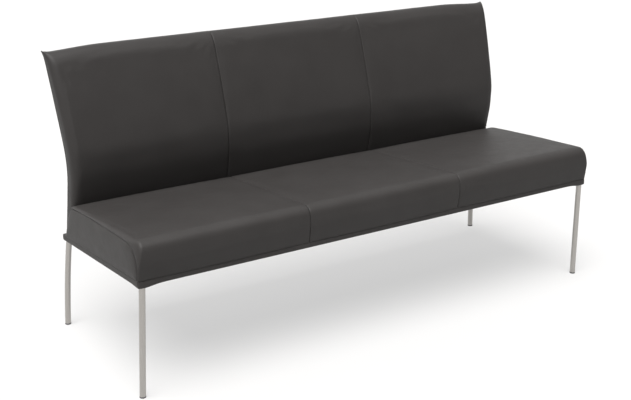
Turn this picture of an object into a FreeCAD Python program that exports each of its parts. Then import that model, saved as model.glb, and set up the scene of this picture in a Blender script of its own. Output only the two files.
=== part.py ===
import FreeCAD, Part
import math
import os

# A three-place upholstered dining bench with a backrest on four slim steel legs.
# Millimetres and degrees. X runs along the bench, +Y to the rear, +Z up, floor at Z = 0.
# Seat, base and back are built square to the base: X, then depth V from the hem's front face,
# then height W from the hem's underside. They are tilted and lifted onto the legs at the end.

# Seat
SEAT_LENGTH = 1750.0          # over the two end panels
SEAT_DEPTH = 503.0            # hem front to the top line where seat and back meet
SEAT_HEIGHT = 134.0           # hem underside to the seat's top edges
SEAT_TILT = 4.8               # the rear is lower
SEAT_CROWN = 4.0              # rise of the top at mid depth
SEAT_CROWN_RADIUS = 9000.0
SEAT_FOOT = 4.0               # how far the front face starts behind the hem
FRONT_BULGE = 17.0            # how far the front face swells past the hem
FRONT_BULGE_HEIGHT = 80.0
FRONT_BULGE_RADIUS = 110.0
FRONT_EDGE_SET_BACK = 3.0     # top front edge behind the fullest part of the front
FRONT_EDGE_RADIUS = 30.0
REAR_EDGE_RADIUS = 18.0
END_EDGE_RADIUS = 16.0        # roll of the top panels onto the end panels
END_BULGE = 2.5               # dome of an end panel
END_DOME_INSET = 28.0         # rim of the flat middle of an end panel
WING_DEPTH = 33.0             # the ends reach this far behind the seat, at the hem
WING_TOP = 120.0

# Upholstery
PANELS = 3
COVER = 2.0                   # leather with its fleece backing
SOFT_GAP = 0.3                # air between foam and what it lies against
SEAM_DEPTH = 2.6              # how far a seam draws the cover in
SEAM_EASE = 16.0              # half width of the hollow along a seam
PANEL_CROWN = 1.5             # swell of a panel between its seams
LEAST_RADIUS = 1.5            # of a corner inside an inset outline

# Base and hem
BASE_FRONT_HEIGHT = 357.0     # floor to the hem's lower front edge
BOARD_THICKNESS = 16.0
HEM_OVERLAP = 3.0             # end panels stand this far past the hem
HEM_REAR_LEDGE = 7.0          # hem behind the back
HEM_UNDER = 28.0              # leather turned under the board
HEM_OVER = 12.0               # leather turned over the board's top edge
HEM_CORNER_RADIUS = 8.0
DUST_COVER_THICKNESS = 1.0
DUST_COVER_INSET = 16.0

# Seat box
RAIL_THICKNESS = 25.0
RAIL_HEIGHT = 58.0
CROSS_RAIL_DROP = 15.0        # cross rails stay below the webbing
FOAM_SKIRT = 16.0             # foam in front of and beside the rails
REAR_SKIRT = 4.0              # foam behind the rear rail
CORNER_BLOCK = 70.0
CORNER_BLOCK_HEIGHT = 45.0
STRAP_WIDTH = 50.0
STRAP_THICKNESS = 2.0
STRAP_COUNT = 12
STRAP_END_MARGIN = 60.0

# Back
BACK_HEIGHT = 617.0           # hem underside to the top of the back
BACK_GAP = 0.6                # seat cover to the fullest part of the back cover
LOWER_RAKE = 16.7             # the part behind the seat leans forward going up
UPPER_LEAN = 12.4             # the part above the lumbar bend leans back
LUMBAR_HEIGHT = 262.0
LUMBAR_RADIUS = 250.0
BACK_THICKNESS = 62.0         # at the lumbar bend
BACK_FOOT_THICKNESS = 57.0
BACK_TOP_THICKNESS = 42.0
REAR_LUMBAR_RADIUS = 300.0
BACK_TOP_RADIUS = 24.0
BACK_CORNER_RADIUS = 24.0
BACK_TOP_OUTSET = 1.0         # top corner of the back past the seat's end, each side
BACK_WAIST_INSET = 21.0       # waist of the back inside the seat's end, each side
BACK_FOOT_INSET = 14.0
BACK_WAIST_HEIGHT = 225.0
BACK_FLARE_POWER = 1.3
BACK_STATIONS = 13
ROLL_STATIONS = 5
REAR_FOAM = 6.0
SHELL_THICKNESS = 12.0
BACK_RAIL_HEIGHT = 82.0

# Legs
LEG_DIAMETER = 19.0
LEG_WALL = 1.5
FRONT_LEG_INSET_X = 18.0      # tube axis from the hem's end face, at the plate
FRONT_LEG_INSET_Y = 12.5
FRONT_LEG_SPLAY = 13.0        # foot beyond the top, sideways
FRONT_LEG_SWEEP = 9.0         # foot behind the top
REAR_LEG_INSET_X = 14.0
REAR_LEG_INSET_Y = 22.0
REAR_LEG_SPLAY = 14.0
REAR_LEG_SWEEP = 34.0
REAR_LEG_BOW = 8.5            # rearward bow of the bent tube
PLATE_SIZE = 60.0
PLATE_THICKNESS = 5.0
PLATE_SCREW_EDGE = 14.0
GLIDE_HEIGHT = 5.0
GLIDE_RIM = 0.4               # glide past the tube, all round
GLIDE_PLUG = 18.0
GLIDE_CHAMFER = 0.8

# Fasteners
CLEARANCE = 0.2               # radial, round shanks and plugs
LEG_SCREW_DIAMETER = 6.0
LEG_SCREW_HEAD = 12.0
LEG_SCREW_HEAD_HEIGHT = 3.0
TEE_NUT_FLANGE = 18.0
TEE_NUT_FLANGE_THICKNESS = 1.5
TEE_NUT_WALL = 1.2
TEE_NUT_BARREL = 7.0
BOLT_DIAMETER = 8.0
BOLT_HEAD = 13.0
BOLT_HEAD_HEIGHT = 7.0
BOLT_HEX = 6.0
BOLT_HEX_DEPTH = 4.0
WASHER_DIAMETER = 20.0
WASHER_THICKNESS = 2.0
BACK_BOLT_COUNT = 6
BACK_BOLT_END_MARGIN = 154.0  # outermost bolt to the end of the seat box
BACK_BOLT_HEIGHT = 52.0
BACK_BOLT_REACH = 30.0        # grip inside the back's bottom rail
FOOT_BOLT_COUNT = 4
FOOT_BOLT_END_MARGIN = 329.0
FOOT_INSERT_DIAMETER = 12.0
FOOT_INSERT_LENGTH = 20.0
BOX_SCREW_DIAMETER = 5.0
BOX_SCREW_HEAD = 10.0
BOX_SCREW_HEAD_HEIGHT = 2.5
BOX_SCREW_GRIP = 24.0
BOX_SCREW_COUNT = 7

# Worked out from the sizes above
HALF = SEAT_LENGTH / 2 - HEM_OVERLAP
HEM_HEIGHT = BOARD_THICKNESS + 2 * COVER
BOARD_TOP = COVER + BOARD_THICKNESS
SEAM_X = SEAT_LENGTH / PANELS / 2
RAKE = math.radians(LOWER_RAKE)
LEAN = math.radians(UPPER_LEAN)
BACK_FRONT_V = SEAT_DEPTH + (BACK_GAP + PANEL_CROWN) / math.cos(RAKE)
LUMBAR_V = BACK_FRONT_V - (LUMBAR_HEIGHT - SEAT_HEIGHT) * math.tan(RAKE)
FRONT_FOOT_V = BACK_FRONT_V + (SEAT_HEIGHT - HEM_HEIGHT) * math.tan(RAKE)
REAR_FOOT_V = FRONT_FOOT_V + BACK_FOOT_THICKNESS
REAR_LUMBAR_V = LUMBAR_V + BACK_THICKNESS
REAR_TOP_V = LUMBAR_V + (BACK_HEIGHT - LUMBAR_HEIGHT) * math.tan(LEAN) + BACK_TOP_THICKNESS
REAR_RAKE = math.atan((REAR_FOOT_V - REAR_LUMBAR_V) / (LUMBAR_HEIGHT - HEM_HEIGHT))
REAR_LEAN = math.atan((REAR_TOP_V - REAR_LUMBAR_V) / (BACK_HEIGHT - LUMBAR_HEIGHT))
BASE_DEPTH = REAR_FOOT_V + HEM_REAR_LEDGE
BOX_FRONT_V = COVER + FOAM_SKIRT
BOX_HALF = HALF - COVER - FOAM_SKIRT
RAIL_TOP = BOARD_TOP + RAIL_HEIGHT
STRAP_TOP = RAIL_TOP + STRAP_THICKNESS
BACK_RAIL_TOP = HEM_HEIGHT + BACK_RAIL_HEIGHT
SHELL_REAR = COVER + SOFT_GAP + REAR_FOAM + SOFT_GAP
SHELL_FRONT = SHELL_REAR + SHELL_THICKNESS
FAR = SEAT_LENGTH + BACK_HEIGHT + SEAT_DEPTH


def vec(x, y, z):
    return FreeCAD.Vector(x, y, z)


def box(x0, x1, v0, v1, w0, w1):
    return Part.makeBox(x1 - x0, v1 - v0, w1 - w0, vec(x0, v0, w0))


def rod(radius, start, end):
    """Cylinder between two points."""
    axis = end - start
    return Part.makeCylinder(radius, axis.Length, start, axis)


def mirrored(shape):
    return shape.mirror(vec(0, 0, 0), vec(1, 0, 0))


def inset_corners(corners, depths):
    """Corners (a, b, radius) of an anticlockwise outline, each side moved in by its own depth."""
    count = len(corners)
    sides = []
    for i in range(count):
        (a0, b0, _), (a1, b1, _) = corners[i], corners[(i + 1) % count]
        length = math.hypot(a1 - a0, b1 - b0)
        ta, tb = (a1 - a0) / length, (b1 - b0) / length
        sides.append((a0 - tb * depths[i], b0 + ta * depths[i], ta, tb))
    moved = []
    for i in range(count):
        pa, pb, pta, ptb = sides[i - 1]
        na, nb, nta, ntb = sides[i]
        turn = pta * ntb - ptb * nta
        along = ((na - pa) * ntb - (nb - pb) * nta) / turn
        depth = (depths[i - 1] + depths[i]) / 2
        radius = corners[i][2]
        if radius:
            radius = max(radius - math.copysign(depth, turn), LEAST_RADIUS)
        moved.append((pa + pta * along, pb + ptb * along, radius))
    return moved


def rounded_wire(corners, place):
    """Closed wire of lines and tangent arcs; place turns outline coordinates into a point."""
    count = len(corners)
    runs = []
    for i in range(count):
        a, b, radius = corners[i]
        (pa, pb, _), (na, nb, _) = corners[i - 1], corners[(i + 1) % count]
        back, on = math.hypot(pa - a, pb - b), math.hypot(na - a, nb - b)
        ua, ub = (pa - a) / back, (pb - b) / back
        va, vb = (na - a) / on, (nb - b) / on
        if not radius:
            runs.append([place(a, b)])
            continue
        half = math.acos(max(-1.0, min(1.0, ua * va + ub * vb))) / 2
        reach = radius / math.tan(half)
        bisector = math.hypot(ua + va, ub + vb)
        middle = radius / math.sin(half) - radius
        ma, mb = (ua + va) / bisector * middle, (ub + vb) / bisector * middle
        runs.append([place(a + ua * reach, b + ub * reach), place(a + ma, b + mb),
                     place(a + va * reach, b + vb * reach)])
    edges = []
    for i in range(count):
        if len(runs[i]) == 3:
            edges.append(Part.Arc(*runs[i]).toShape())
        edges.append(Part.LineSegment(runs[i][-1], runs[(i + 1) % count][0]).toShape())
    return Part.Wire(edges)


def prism_x(corners, x0, x1):
    """Outline in depth and height, drawn out along the bench."""
    wire = rounded_wire(corners, lambda v, w: vec(x0, v, w))
    return Part.Face(wire).extrude(vec(x1 - x0, 0, 0))


def prism_w(corners, w0, w1):
    """Outline in plan, drawn upwards."""
    wire = rounded_wire(corners, lambda x, v: vec(x, v, w0))
    return Part.Face(wire).extrude(vec(0, 0, w1 - w0))


def plan_rectangle(half, v0, v1, radius):
    return [(-half, v0, radius), (half, v0, radius), (half, v1, radius), (-half, v1, radius)]


# Seat cushion and its covers

def rake_v(w, forward=0.0):
    """Depth of the raked plane between seat and back at a height, or of one forward of it."""
    return SEAT_DEPTH + (SEAT_HEIGHT - w) * math.tan(RAKE) - forward / math.cos(RAKE)


def seat_outline(inset, rear_inset):
    """Side outline of the seat, moved in at the top and front and, by its own depth, at the rear."""
    edge_v = FRONT_EDGE_SET_BACK - FRONT_BULGE
    corners = [
        (SEAT_FOOT, 0.0, 0.0),
        (rake_v(0.0), 0.0, 0.0),
        (SEAT_DEPTH, SEAT_HEIGHT, REAR_EDGE_RADIUS),
        ((SEAT_DEPTH + edge_v) / 2, SEAT_HEIGHT + SEAT_CROWN, SEAT_CROWN_RADIUS),
        (edge_v, SEAT_HEIGHT, FRONT_EDGE_RADIUS),
        (-FRONT_BULGE, FRONT_BULGE_HEIGHT, FRONT_BULGE_RADIUS),
    ]
    return inset_corners(corners, [0.0, rear_inset, inset, inset, inset, inset])


def seam_stations(x, way):
    """Places and insets that lead out of the hollow of a seam; way is +1 or -1 along the bench."""
    return [(x, SEAM_DEPTH), (x + way * SEAM_EASE * 0.3, SEAM_DEPTH * 0.4), (x + way * SEAM_EASE, 0.0)]


def end_stations(skin):
    """Places and insets of the roll onto an end panel and its dome, a skin's thickness inside."""
    radius = END_EDGE_RADIUS - skin
    start = SEAT_LENGTH / 2 - END_BULGE - END_EDGE_RADIUS
    stations = []
    for k in range(ROLL_STATIONS):
        angle = math.radians(90.0) * k / (ROLL_STATIONS - 1)
        stations.append((start + radius * math.sin(angle), radius * (1 - math.cos(angle)), 1.0))
    stations.append((start + radius + END_BULGE, END_DOME_INSET, 1.0))
    return stations


def seat_loft(stations, skin):
    """Solid through side outlines; each station is x, inset and the share of it taken at the rear."""
    wires = []
    for x, inset, rear_share in stations:
        corners = seat_outline(inset + skin, inset * rear_share + skin)
        wires.append(rounded_wire(corners, lambda v, w, x=x: vec(x, v, w)))
    solid = Part.makeLoft(wires, True, True)
    return solid.common(box(-FAR, FAR, -FAR, FAR, HEM_HEIGHT, FAR))


def seat_middle_stations():
    left = seam_stations(-SEAM_X, 1)
    right = seam_stations(SEAM_X, -1)[::-1]
    return [(x, inset, 0.0) for x, inset in left + [(0.0, -PANEL_CROWN)] + right]


def seat_right_stations(skin):
    ends = end_stations(skin)
    middle = ((SEAM_X + ends[0][0]) / 2, -PANEL_CROWN)
    return [(x, inset, 0.0) for x, inset in seam_stations(SEAM_X, 1) + [middle]] + ends


def seat_covers():
    middle = seat_loft(seat_middle_stations(), 0.0).cut(seat_loft(seat_middle_stations(), COVER))
    right = seat_loft(seat_right_stations(0.0), 0.0).cut(seat_loft(seat_right_stations(COVER), COVER))
    start = end_stations(0.0)[0][0]
    seam_inset = end_stations(0.0)[ROLL_STATIONS - 2][1]
    inside_seam = prism_x(seat_outline(seam_inset, seam_inset), start, FAR)
    right_end = right.common(inside_seam)
    right_top = right.cut(inside_seam)
    return {
        "seat_cover_middle": middle,
        "seat_cover_right": right_top,
        "seat_cover_left": mirrored(right_top),
        "seat_end_panel_right": right_end,
        "seat_end_panel_left": mirrored(right_end),
    }


def seat_wings():
    """Padded wings that carry the seat's ends back beside the foot of the back."""
    lead = SOFT_GAP / math.cos(RAKE)
    top_depth = WING_DEPTH * (SEAT_HEIGHT - WING_TOP) / (SEAT_HEIGHT - HEM_HEIGHT)
    corners = [
        (rake_v(HEM_HEIGHT) + lead, HEM_HEIGHT, 0.0),
        (rake_v(HEM_HEIGHT) + WING_DEPTH, HEM_HEIGHT, 0.0),
        (rake_v(WING_TOP) + top_depth, WING_TOP, 0.0),
        (rake_v(WING_TOP) + lead, WING_TOP, 0.0),
    ]
    right = prism_x(corners, back_half(HEM_HEIGHT) + SOFT_GAP, HALF)
    return {"seat_wing_right": right, "seat_wing_left": mirrored(right)}


def seat_foam():
    skin = COVER + SOFT_GAP
    right = seat_right_stations(skin)
    left = [(-x, inset, rear_share) for x, inset, rear_share in right[::-1]]
    stations = left + seat_middle_stations()[1:-1] + right
    pocket = [
        (BOX_FRONT_V - SOFT_GAP, 0.0, 0.0),
        (rake_v(0.0, COVER + REAR_SKIRT - SOFT_GAP), 0.0, 0.0),
        (rake_v(STRAP_TOP, COVER + REAR_SKIRT - SOFT_GAP), STRAP_TOP, 0.0),
        (BOX_FRONT_V - SOFT_GAP, STRAP_TOP, 0.0),
    ]
    half = BOX_HALF + SOFT_GAP
    return seat_loft(stations, skin).cut(prism_x(pocket, -half, half))


# Base board, hem and dust cover

def base_outline(inset):
    return inset_corners(plan_rectangle(HALF, 0.0, BASE_DEPTH, HEM_CORNER_RADIUS), [inset] * 4)


def hems():
    """Leather turned round the board's edge, in four runs mitred at the corners."""
    band = prism_w(base_outline(0.0), 0.0, HEM_HEIGHT)
    band = band.cut(prism_w(base_outline(COVER), COVER, BOARD_TOP))
    band = band.cut(prism_w(base_outline(HEM_UNDER), 0.0, COVER))
    band = band.cut(prism_w(base_outline(HEM_OVER), BOARD_TOP, HEM_HEIGHT))
    middle = BASE_DEPTH / 2
    wedge = [(-HALF, 0.0, 0.0), (HALF, 0.0, 0.0), (HALF - middle, middle, 0.0), (middle - HALF, middle, 0.0)]
    front = prism_w(wedge, 0.0, HEM_HEIGHT)
    rear = prism_w([(x, BASE_DEPTH - v, 0.0) for x, v, _ in wedge[::-1]], 0.0, HEM_HEIGHT)
    right = box(0.0, HALF, 0.0, BASE_DEPTH, 0.0, HEM_HEIGHT).cut(front).cut(rear)
    right_hem = band.common(right)
    return {
        "hem_front": band.common(front),
        "hem_rear": band.common(rear),
        "hem_right": right_hem,
        "hem_left": mirrored(right_hem),
    }


def dust_cover():
    return prism_w(base_outline(DUST_COVER_INSET), -DUST_COVER_THICKNESS, 0.0)


# Seat box

def seat_box():
    front_inner = BOX_FRONT_V + RAIL_THICKNESS
    rear_face = COVER + REAR_SKIRT

    def rail_rear(w):
        return rake_v(w, rear_face)

    def rail_front(w):
        return rake_v(w, rear_face + RAIL_THICKNESS)

    rear_rail = [
        (rail_front(BOARD_TOP), BOARD_TOP, 0.0), (rail_rear(BOARD_TOP), BOARD_TOP, 0.0),
        (rail_rear(RAIL_TOP), RAIL_TOP, 0.0), (rail_front(RAIL_TOP), RAIL_TOP, 0.0),
    ]

    def between(top):
        return [
            (front_inner, BOARD_TOP, 0.0), (rail_front(BOARD_TOP), BOARD_TOP, 0.0),
            (rail_front(top), top, 0.0), (front_inner, top, 0.0),
        ]

    end_inner = BOX_HALF - RAIL_THICKNESS
    right_end = prism_x(between(RAIL_TOP), end_inner, BOX_HALF)
    cross = prism_x(between(RAIL_TOP - CROSS_RAIL_DROP), SEAM_X - RAIL_THICKNESS / 2, SEAM_X + RAIL_THICKNESS / 2)
    block_top = BOARD_TOP + CORNER_BLOCK_HEIGHT
    front_block = prism_w([
        (end_inner - CORNER_BLOCK, front_inner, 0.0), (end_inner, front_inner, 0.0),
        (end_inner, front_inner + CORNER_BLOCK, 0.0)], BOARD_TOP, block_top)
    back_v = rail_front(BOARD_TOP)
    rear_block = prism_w([
        (end_inner, rail_front(block_top) - CORNER_BLOCK, 0.0), (end_inner, back_v, 0.0),
        (end_inner - CORNER_BLOCK, back_v, 0.0)], BOARD_TOP, block_top)
    rear_block = rear_block.common(prism_x(between(block_top), 0.0, BOX_HALF))
    straps = []
    for x in spread(STRAP_COUNT, STRAP_END_MARGIN):
        straps.append(box(x - STRAP_WIDTH / 2, x + STRAP_WIDTH / 2, BOX_FRONT_V, rail_rear(STRAP_TOP),
                          RAIL_TOP, STRAP_TOP))
    return {
        "seat_front_rail": box(-BOX_HALF, BOX_HALF, BOX_FRONT_V, front_inner, BOARD_TOP, RAIL_TOP),
        "seat_rear_rail": prism_x(rear_rail, -BOX_HALF, BOX_HALF),
        "seat_right_rail": right_end,
        "seat_left_rail": mirrored(right_end),
        "seat_cross_rail_right": cross,
        "seat_cross_rail_left": mirrored(cross),
        "corner_block_front_right": front_block,
        "corner_block_front_left": mirrored(front_block),
        "corner_block_rear_right": rear_block,
        "corner_block_rear_left": mirrored(rear_block),
        "seat_webbing": Part.makeCompound(straps),
    }


# Back

def lumbar_curve(w, vertex_v, rake, lean, radius):
    """Depth at a height of a line that leans forward, bends at the lumbar height and leans back."""
    reach = radius * math.tan((rake + lean) / 2)
    low = LUMBAR_HEIGHT - reach * math.cos(rake)
    high = LUMBAR_HEIGHT + reach * math.cos(lean)
    if w <= low:
        return vertex_v + (LUMBAR_HEIGHT - w) * math.tan(rake)
    if w >= high:
        return vertex_v + (w - LUMBAR_HEIGHT) * math.tan(lean)
    centre_v = vertex_v + reach * math.sin(rake) + radius * math.cos(rake)
    centre_w = low + radius * math.sin(rake)
    return centre_v - math.sqrt(radius ** 2 - (w - centre_w) ** 2)


def back_front_v(w):
    return lumbar_curve(w, LUMBAR_V, RAKE, LEAN, LUMBAR_RADIUS)


def back_rear_v(w):
    return lumbar_curve(w, REAR_LUMBAR_V, REAR_RAKE, REAR_LEAN, REAR_LUMBAR_RADIUS)


def back_half(w):
    """Half width of the back: drawn in at the waist, wider at the foot and widest at the top."""
    if w > BACK_WAIST_HEIGHT:
        share = (w - BACK_WAIST_HEIGHT) / (BACK_HEIGHT - BACK_WAIST_HEIGHT)
        flare = BACK_WAIST_INSET + BACK_TOP_OUTSET
    else:
        share = (BACK_WAIST_HEIGHT - w) / (BACK_WAIST_HEIGHT - HEM_HEIGHT)
        flare = BACK_WAIST_INSET - BACK_FOOT_INSET
    return SEAT_LENGTH / 2 - BACK_WAIST_INSET + flare * share ** BACK_FLARE_POWER


def back_section(w, skin, front_shift, rear_inset):
    """Plan outline of the back's front part: rounded ends, hollows at the seams, swell between them."""
    front = back_front_v(w) + front_shift
    rear = back_rear_v(w) - rear_inset
    half = back_half(w)
    padding = back_rear_v(w) - back_front_v(w) - SHELL_FRONT - SOFT_GAP
    depth = back_rear_v(w) - COVER - front
    corner = min(BACK_CORNER_RADIUS, 0.9 * padding, 0.6 * depth)
    outer_swell = (half + SEAM_X) / 2
    corners = [(-half, front, corner), (-outer_swell, front - PANEL_CROWN, 0.0)]
    for seam in (-SEAM_X, SEAM_X):
        corners.append((seam - SEAM_EASE, front, 0.0))
        corners.append((seam, front + SEAM_DEPTH, 0.0))
        corners.append((seam + SEAM_EASE, front, 0.0))
        if seam < 0:
            corners.append((0.0, front - PANEL_CROWN, 0.0))
    corners += [(outer_swell, front - PANEL_CROWN, 0.0), (half, front, corner), (half, rear, 0.0), (-half, rear, 0.0)]
    depths = [skin] * len(corners)
    depths[-2] = 0.0
    return rounded_wire(inset_corners(corners, depths), lambda x, v: vec(x, v, w))


def back_heights():
    top = BACK_HEIGHT - BACK_TOP_RADIUS
    return [HEM_HEIGHT + (top - HEM_HEIGHT) * k / (BACK_STATIONS - 1) for k in range(BACK_STATIONS)]


def back_body(skin, rear_inset):
    """The back up to where its top edge starts to roll over."""
    wires = [back_section(w, skin, 0.0, rear_inset) for w in back_heights()]
    return Part.makeLoft(wires, True, False)


def back_roll(skin):
    """The top edge, which rolls from the front face onto the top."""
    radius = BACK_TOP_RADIUS - skin
    wires = []
    for k in range(ROLL_STATIONS):
        angle = math.radians(90.0) * k / (ROLL_STATIONS - 1)
        w = BACK_HEIGHT - BACK_TOP_RADIUS + radius * math.sin(angle)
        wires.append(back_section(w, skin, radius * (1 - math.cos(angle)), COVER + SOFT_GAP))
    return Part.makeLoft(wires, True, False)


def back_layer(outer, inner, side):
    """Sheet that follows the back's rear face, between two depths inside it."""
    wires = []
    for w in back_heights() + ([BACK_HEIGHT] if not outer else []):
        half = back_half(w) - side
        rear = back_rear_v(w)
        wires.append(rounded_wire(plan_rectangle(half, rear - inner, rear - outer, 0.0),
                                  lambda x, v, w=w: vec(x, v, w)))
    return Part.makeLoft(wires, True, False)


def thirds(shape, name):
    """The left, middle and right panels of a cover that is sewn at the thirds of the length."""
    cuts = [(-FAR, -SEAM_X, "left"), (-SEAM_X, SEAM_X, "middle"), (SEAM_X, FAR, "right")]
    return {f"{name}_{word}": shape.common(box(x0, x1, -FAR, FAR, -FAR, FAR)) for x0, x1, word in cuts}


def back_parts():
    seam = COVER + SOFT_GAP
    cover = back_body(0.0, seam).cut(back_body(COVER, seam))
    cover = cover.fuse(back_roll(0.0).cut(back_roll(COVER)))
    fill = back_body(COVER + SOFT_GAP, SHELL_FRONT + SOFT_GAP)
    below = box(-FAR, FAR, -FAR, FAR, 0.0, BACK_RAIL_TOP)
    foam = fill.cut(below).fuse(back_roll(COVER + SOFT_GAP))
    parts = thirds(cover, "back_cover")
    parts.update(thirds(back_layer(0.0, COVER, 0.0), "back_rear_cover"))
    parts["back_bottom_rail"] = fill.common(below)
    parts["back_front_foam"] = foam
    parts["back_rear_foam"] = back_layer(seam, seam + REAR_FOAM, seam)
    parts["back_shell"] = back_layer(SHELL_REAR, SHELL_FRONT, seam)
    return parts


# Legs, in the tilted and lifted frame

def tilt_point(point):
    turn = FreeCAD.Rotation(vec(1, 0, 0), -SEAT_TILT)
    return turn.multVec(point) + vec(0, 0, BASE_FRONT_HEIGHT)


def tilted(shape):
    moved = shape.copy()
    moved.rotate(vec(0, 0, 0), vec(1, 0, 0), -SEAT_TILT)
    moved.translate(vec(0, 0, BASE_FRONT_HEIGHT))
    return moved


def leg_top(rear):
    """Where a right-hand tube's axis meets the underside of its plate, square to the base."""
    if rear:
        return vec(HALF - REAR_LEG_INSET_X, BASE_DEPTH - REAR_LEG_INSET_Y, COVER)
    return vec(HALF - FRONT_LEG_INSET_X, FRONT_LEG_INSET_Y, COVER)


def leg_path(rear):
    """Axis of a right-hand leg, run on past the plate and the floor, and its foot."""
    top = tilt_point(leg_top(rear))
    if not rear:
        foot = vec(top.x + FRONT_LEG_SPLAY, top.y + FRONT_LEG_SWEEP, 0.0)
        spare = (top - foot).normalize() * LEG_DIAMETER
        return Part.Wire(Part.LineSegment(top + spare, foot - spare).toShape()), foot
    foot = vec(top.x + REAR_LEG_SPLAY, top.y + REAR_LEG_SWEEP, 0.0)
    middle = (top + foot) / 2 + vec(0, REAR_LEG_BOW, 0)
    arc = Part.Arc(top, middle, foot).toShape()
    spare = LEG_DIAMETER / arc.Curve.Radius
    run = arc.Curve.toShape(arc.FirstParameter - spare, arc.LastParameter + spare)
    return Part.Wire(run), foot


def pipe(path, radius):
    start = path.Edges[0].valueAt(path.Edges[0].FirstParameter)
    along = path.Edges[0].tangentAt(path.Edges[0].FirstParameter)
    ring = Part.Wire(Part.makeCircle(radius, start, along))
    return path.makePipeShell([ring], True, False)


def leg_parts(rear, word):
    path, foot = leg_path(rear)
    bore = LEG_DIAMETER / 2 - LEG_WALL
    above = tilted(box(-FAR, FAR, -FAR, FAR, COVER, FAR))
    below = box(-FAR, FAR, -FAR, FAR, -FAR, GLIDE_HEIGHT)
    outer = pipe(path, LEG_DIAMETER / 2).cut(above).cut(below)
    tube = outer.cut(pipe(path, bore))
    plug_top = box(-FAR, FAR, -FAR, FAR, GLIDE_HEIGHT, GLIDE_HEIGHT + GLIDE_PLUG)
    plug = pipe(path, bore - CLEARANCE).common(plug_top)
    disc = rod(LEG_DIAMETER / 2 + GLIDE_RIM, foot, foot + vec(0, 0, GLIDE_HEIGHT))
    disc = disc.makeChamfer(GLIDE_CHAMFER, [edge for edge in disc.Edges if edge.Curve.TypeId == "Part::GeomCircle"])
    glide = disc.fuse(plug)
    return {
        f"leg_{word}_right": tube,
        f"leg_{word}_left": mirrored(tube),
        f"glide_{word}_right": glide,
        f"glide_{word}_left": mirrored(glide),
    }


# Leg plates, fasteners and the holes that they need

def plate_places():
    """Plan corners of the four leg plates as x, v and the two directions into the board."""
    x, front, rear = HALF - COVER, COVER, BASE_DEPTH - COVER
    return {
        "front_right": (x, front, -1, 1), "front_left": (-x, front, 1, 1),
        "rear_right": (x, rear, -1, -1), "rear_left": (-x, rear, 1, -1),
    }


def plate_box(place, w0, w1):
    x, v, sx, sv = place
    x0, x1 = sorted((x, x + sx * PLATE_SIZE))
    v0, v1 = sorted((v, v + sv * PLATE_SIZE))
    return box(x0, x1, v0, v1, w0, w1)


def plate_screws(place):
    """Screw positions at the plate corners that the tube leaves free."""
    x, v, sx, sv = place
    near, far = PLATE_SCREW_EDGE, PLATE_SIZE - PLATE_SCREW_EDGE
    return [(x + sx * a, v + sv * b) for a, b in ((far, near), (near, far), (far, far))]


def countersunk(x, v, w, diameter, head, head_height, length):
    """Screw that points up, its head flush with height w."""
    cone = Part.makeCone(head / 2, diameter / 2, head_height, vec(x, v, w))
    return cone.fuse(rod(diameter / 2, vec(x, v, w), vec(x, v, w + length)))


def tee_nut(base, axis, diameter, barrel):
    """Flange at the base point, barrel running back against the axis, threaded hole through both."""
    hole = diameter / 2 + CLEARANCE / 2
    flange = rod(TEE_NUT_FLANGE / 2, base, base + axis * TEE_NUT_FLANGE_THICKNESS)
    sleeve = rod(hole + TEE_NUT_WALL, base - axis * barrel, base + axis * TEE_NUT_FLANGE_THICKNESS)
    return flange.fuse(sleeve).cut(rod(hole, base - axis * barrel, base + axis * TEE_NUT_FLANGE_THICKNESS))


def cap_bolt(seat, axis, length):
    """Socket head bolt whose head bears at the seat point and whose shank runs along the axis."""
    head = rod(BOLT_HEAD / 2, seat - axis * BOLT_HEAD_HEIGHT, seat)
    socket = rod(BOLT_HEX / 2, seat - axis * BOLT_HEAD_HEIGHT, seat - axis * (BOLT_HEAD_HEIGHT - BOLT_HEX_DEPTH))
    return head.cut(socket).fuse(rod(BOLT_DIAMETER / 2, seat, seat + axis * length))


def washer(seat, axis):
    """Ring under a bolt head; the seat point is the face that the head bears on."""
    end = seat + axis * WASHER_THICKNESS
    return rod(WASHER_DIAMETER / 2, seat, end).cut(rod(BOLT_DIAMETER / 2 + CLEARANCE, seat, end))


def spread(count, end_margin):
    """Even places along the seat box, the outermost a margin from its ends."""
    pitch = 2 * (BOX_HALF - end_margin) / (count - 1)
    return [(k - (count - 1) / 2) * pitch for k in range(count)]


def drill(parts, names, hole):
    for name in names:
        parts[name] = parts[name].cut(hole)


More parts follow.
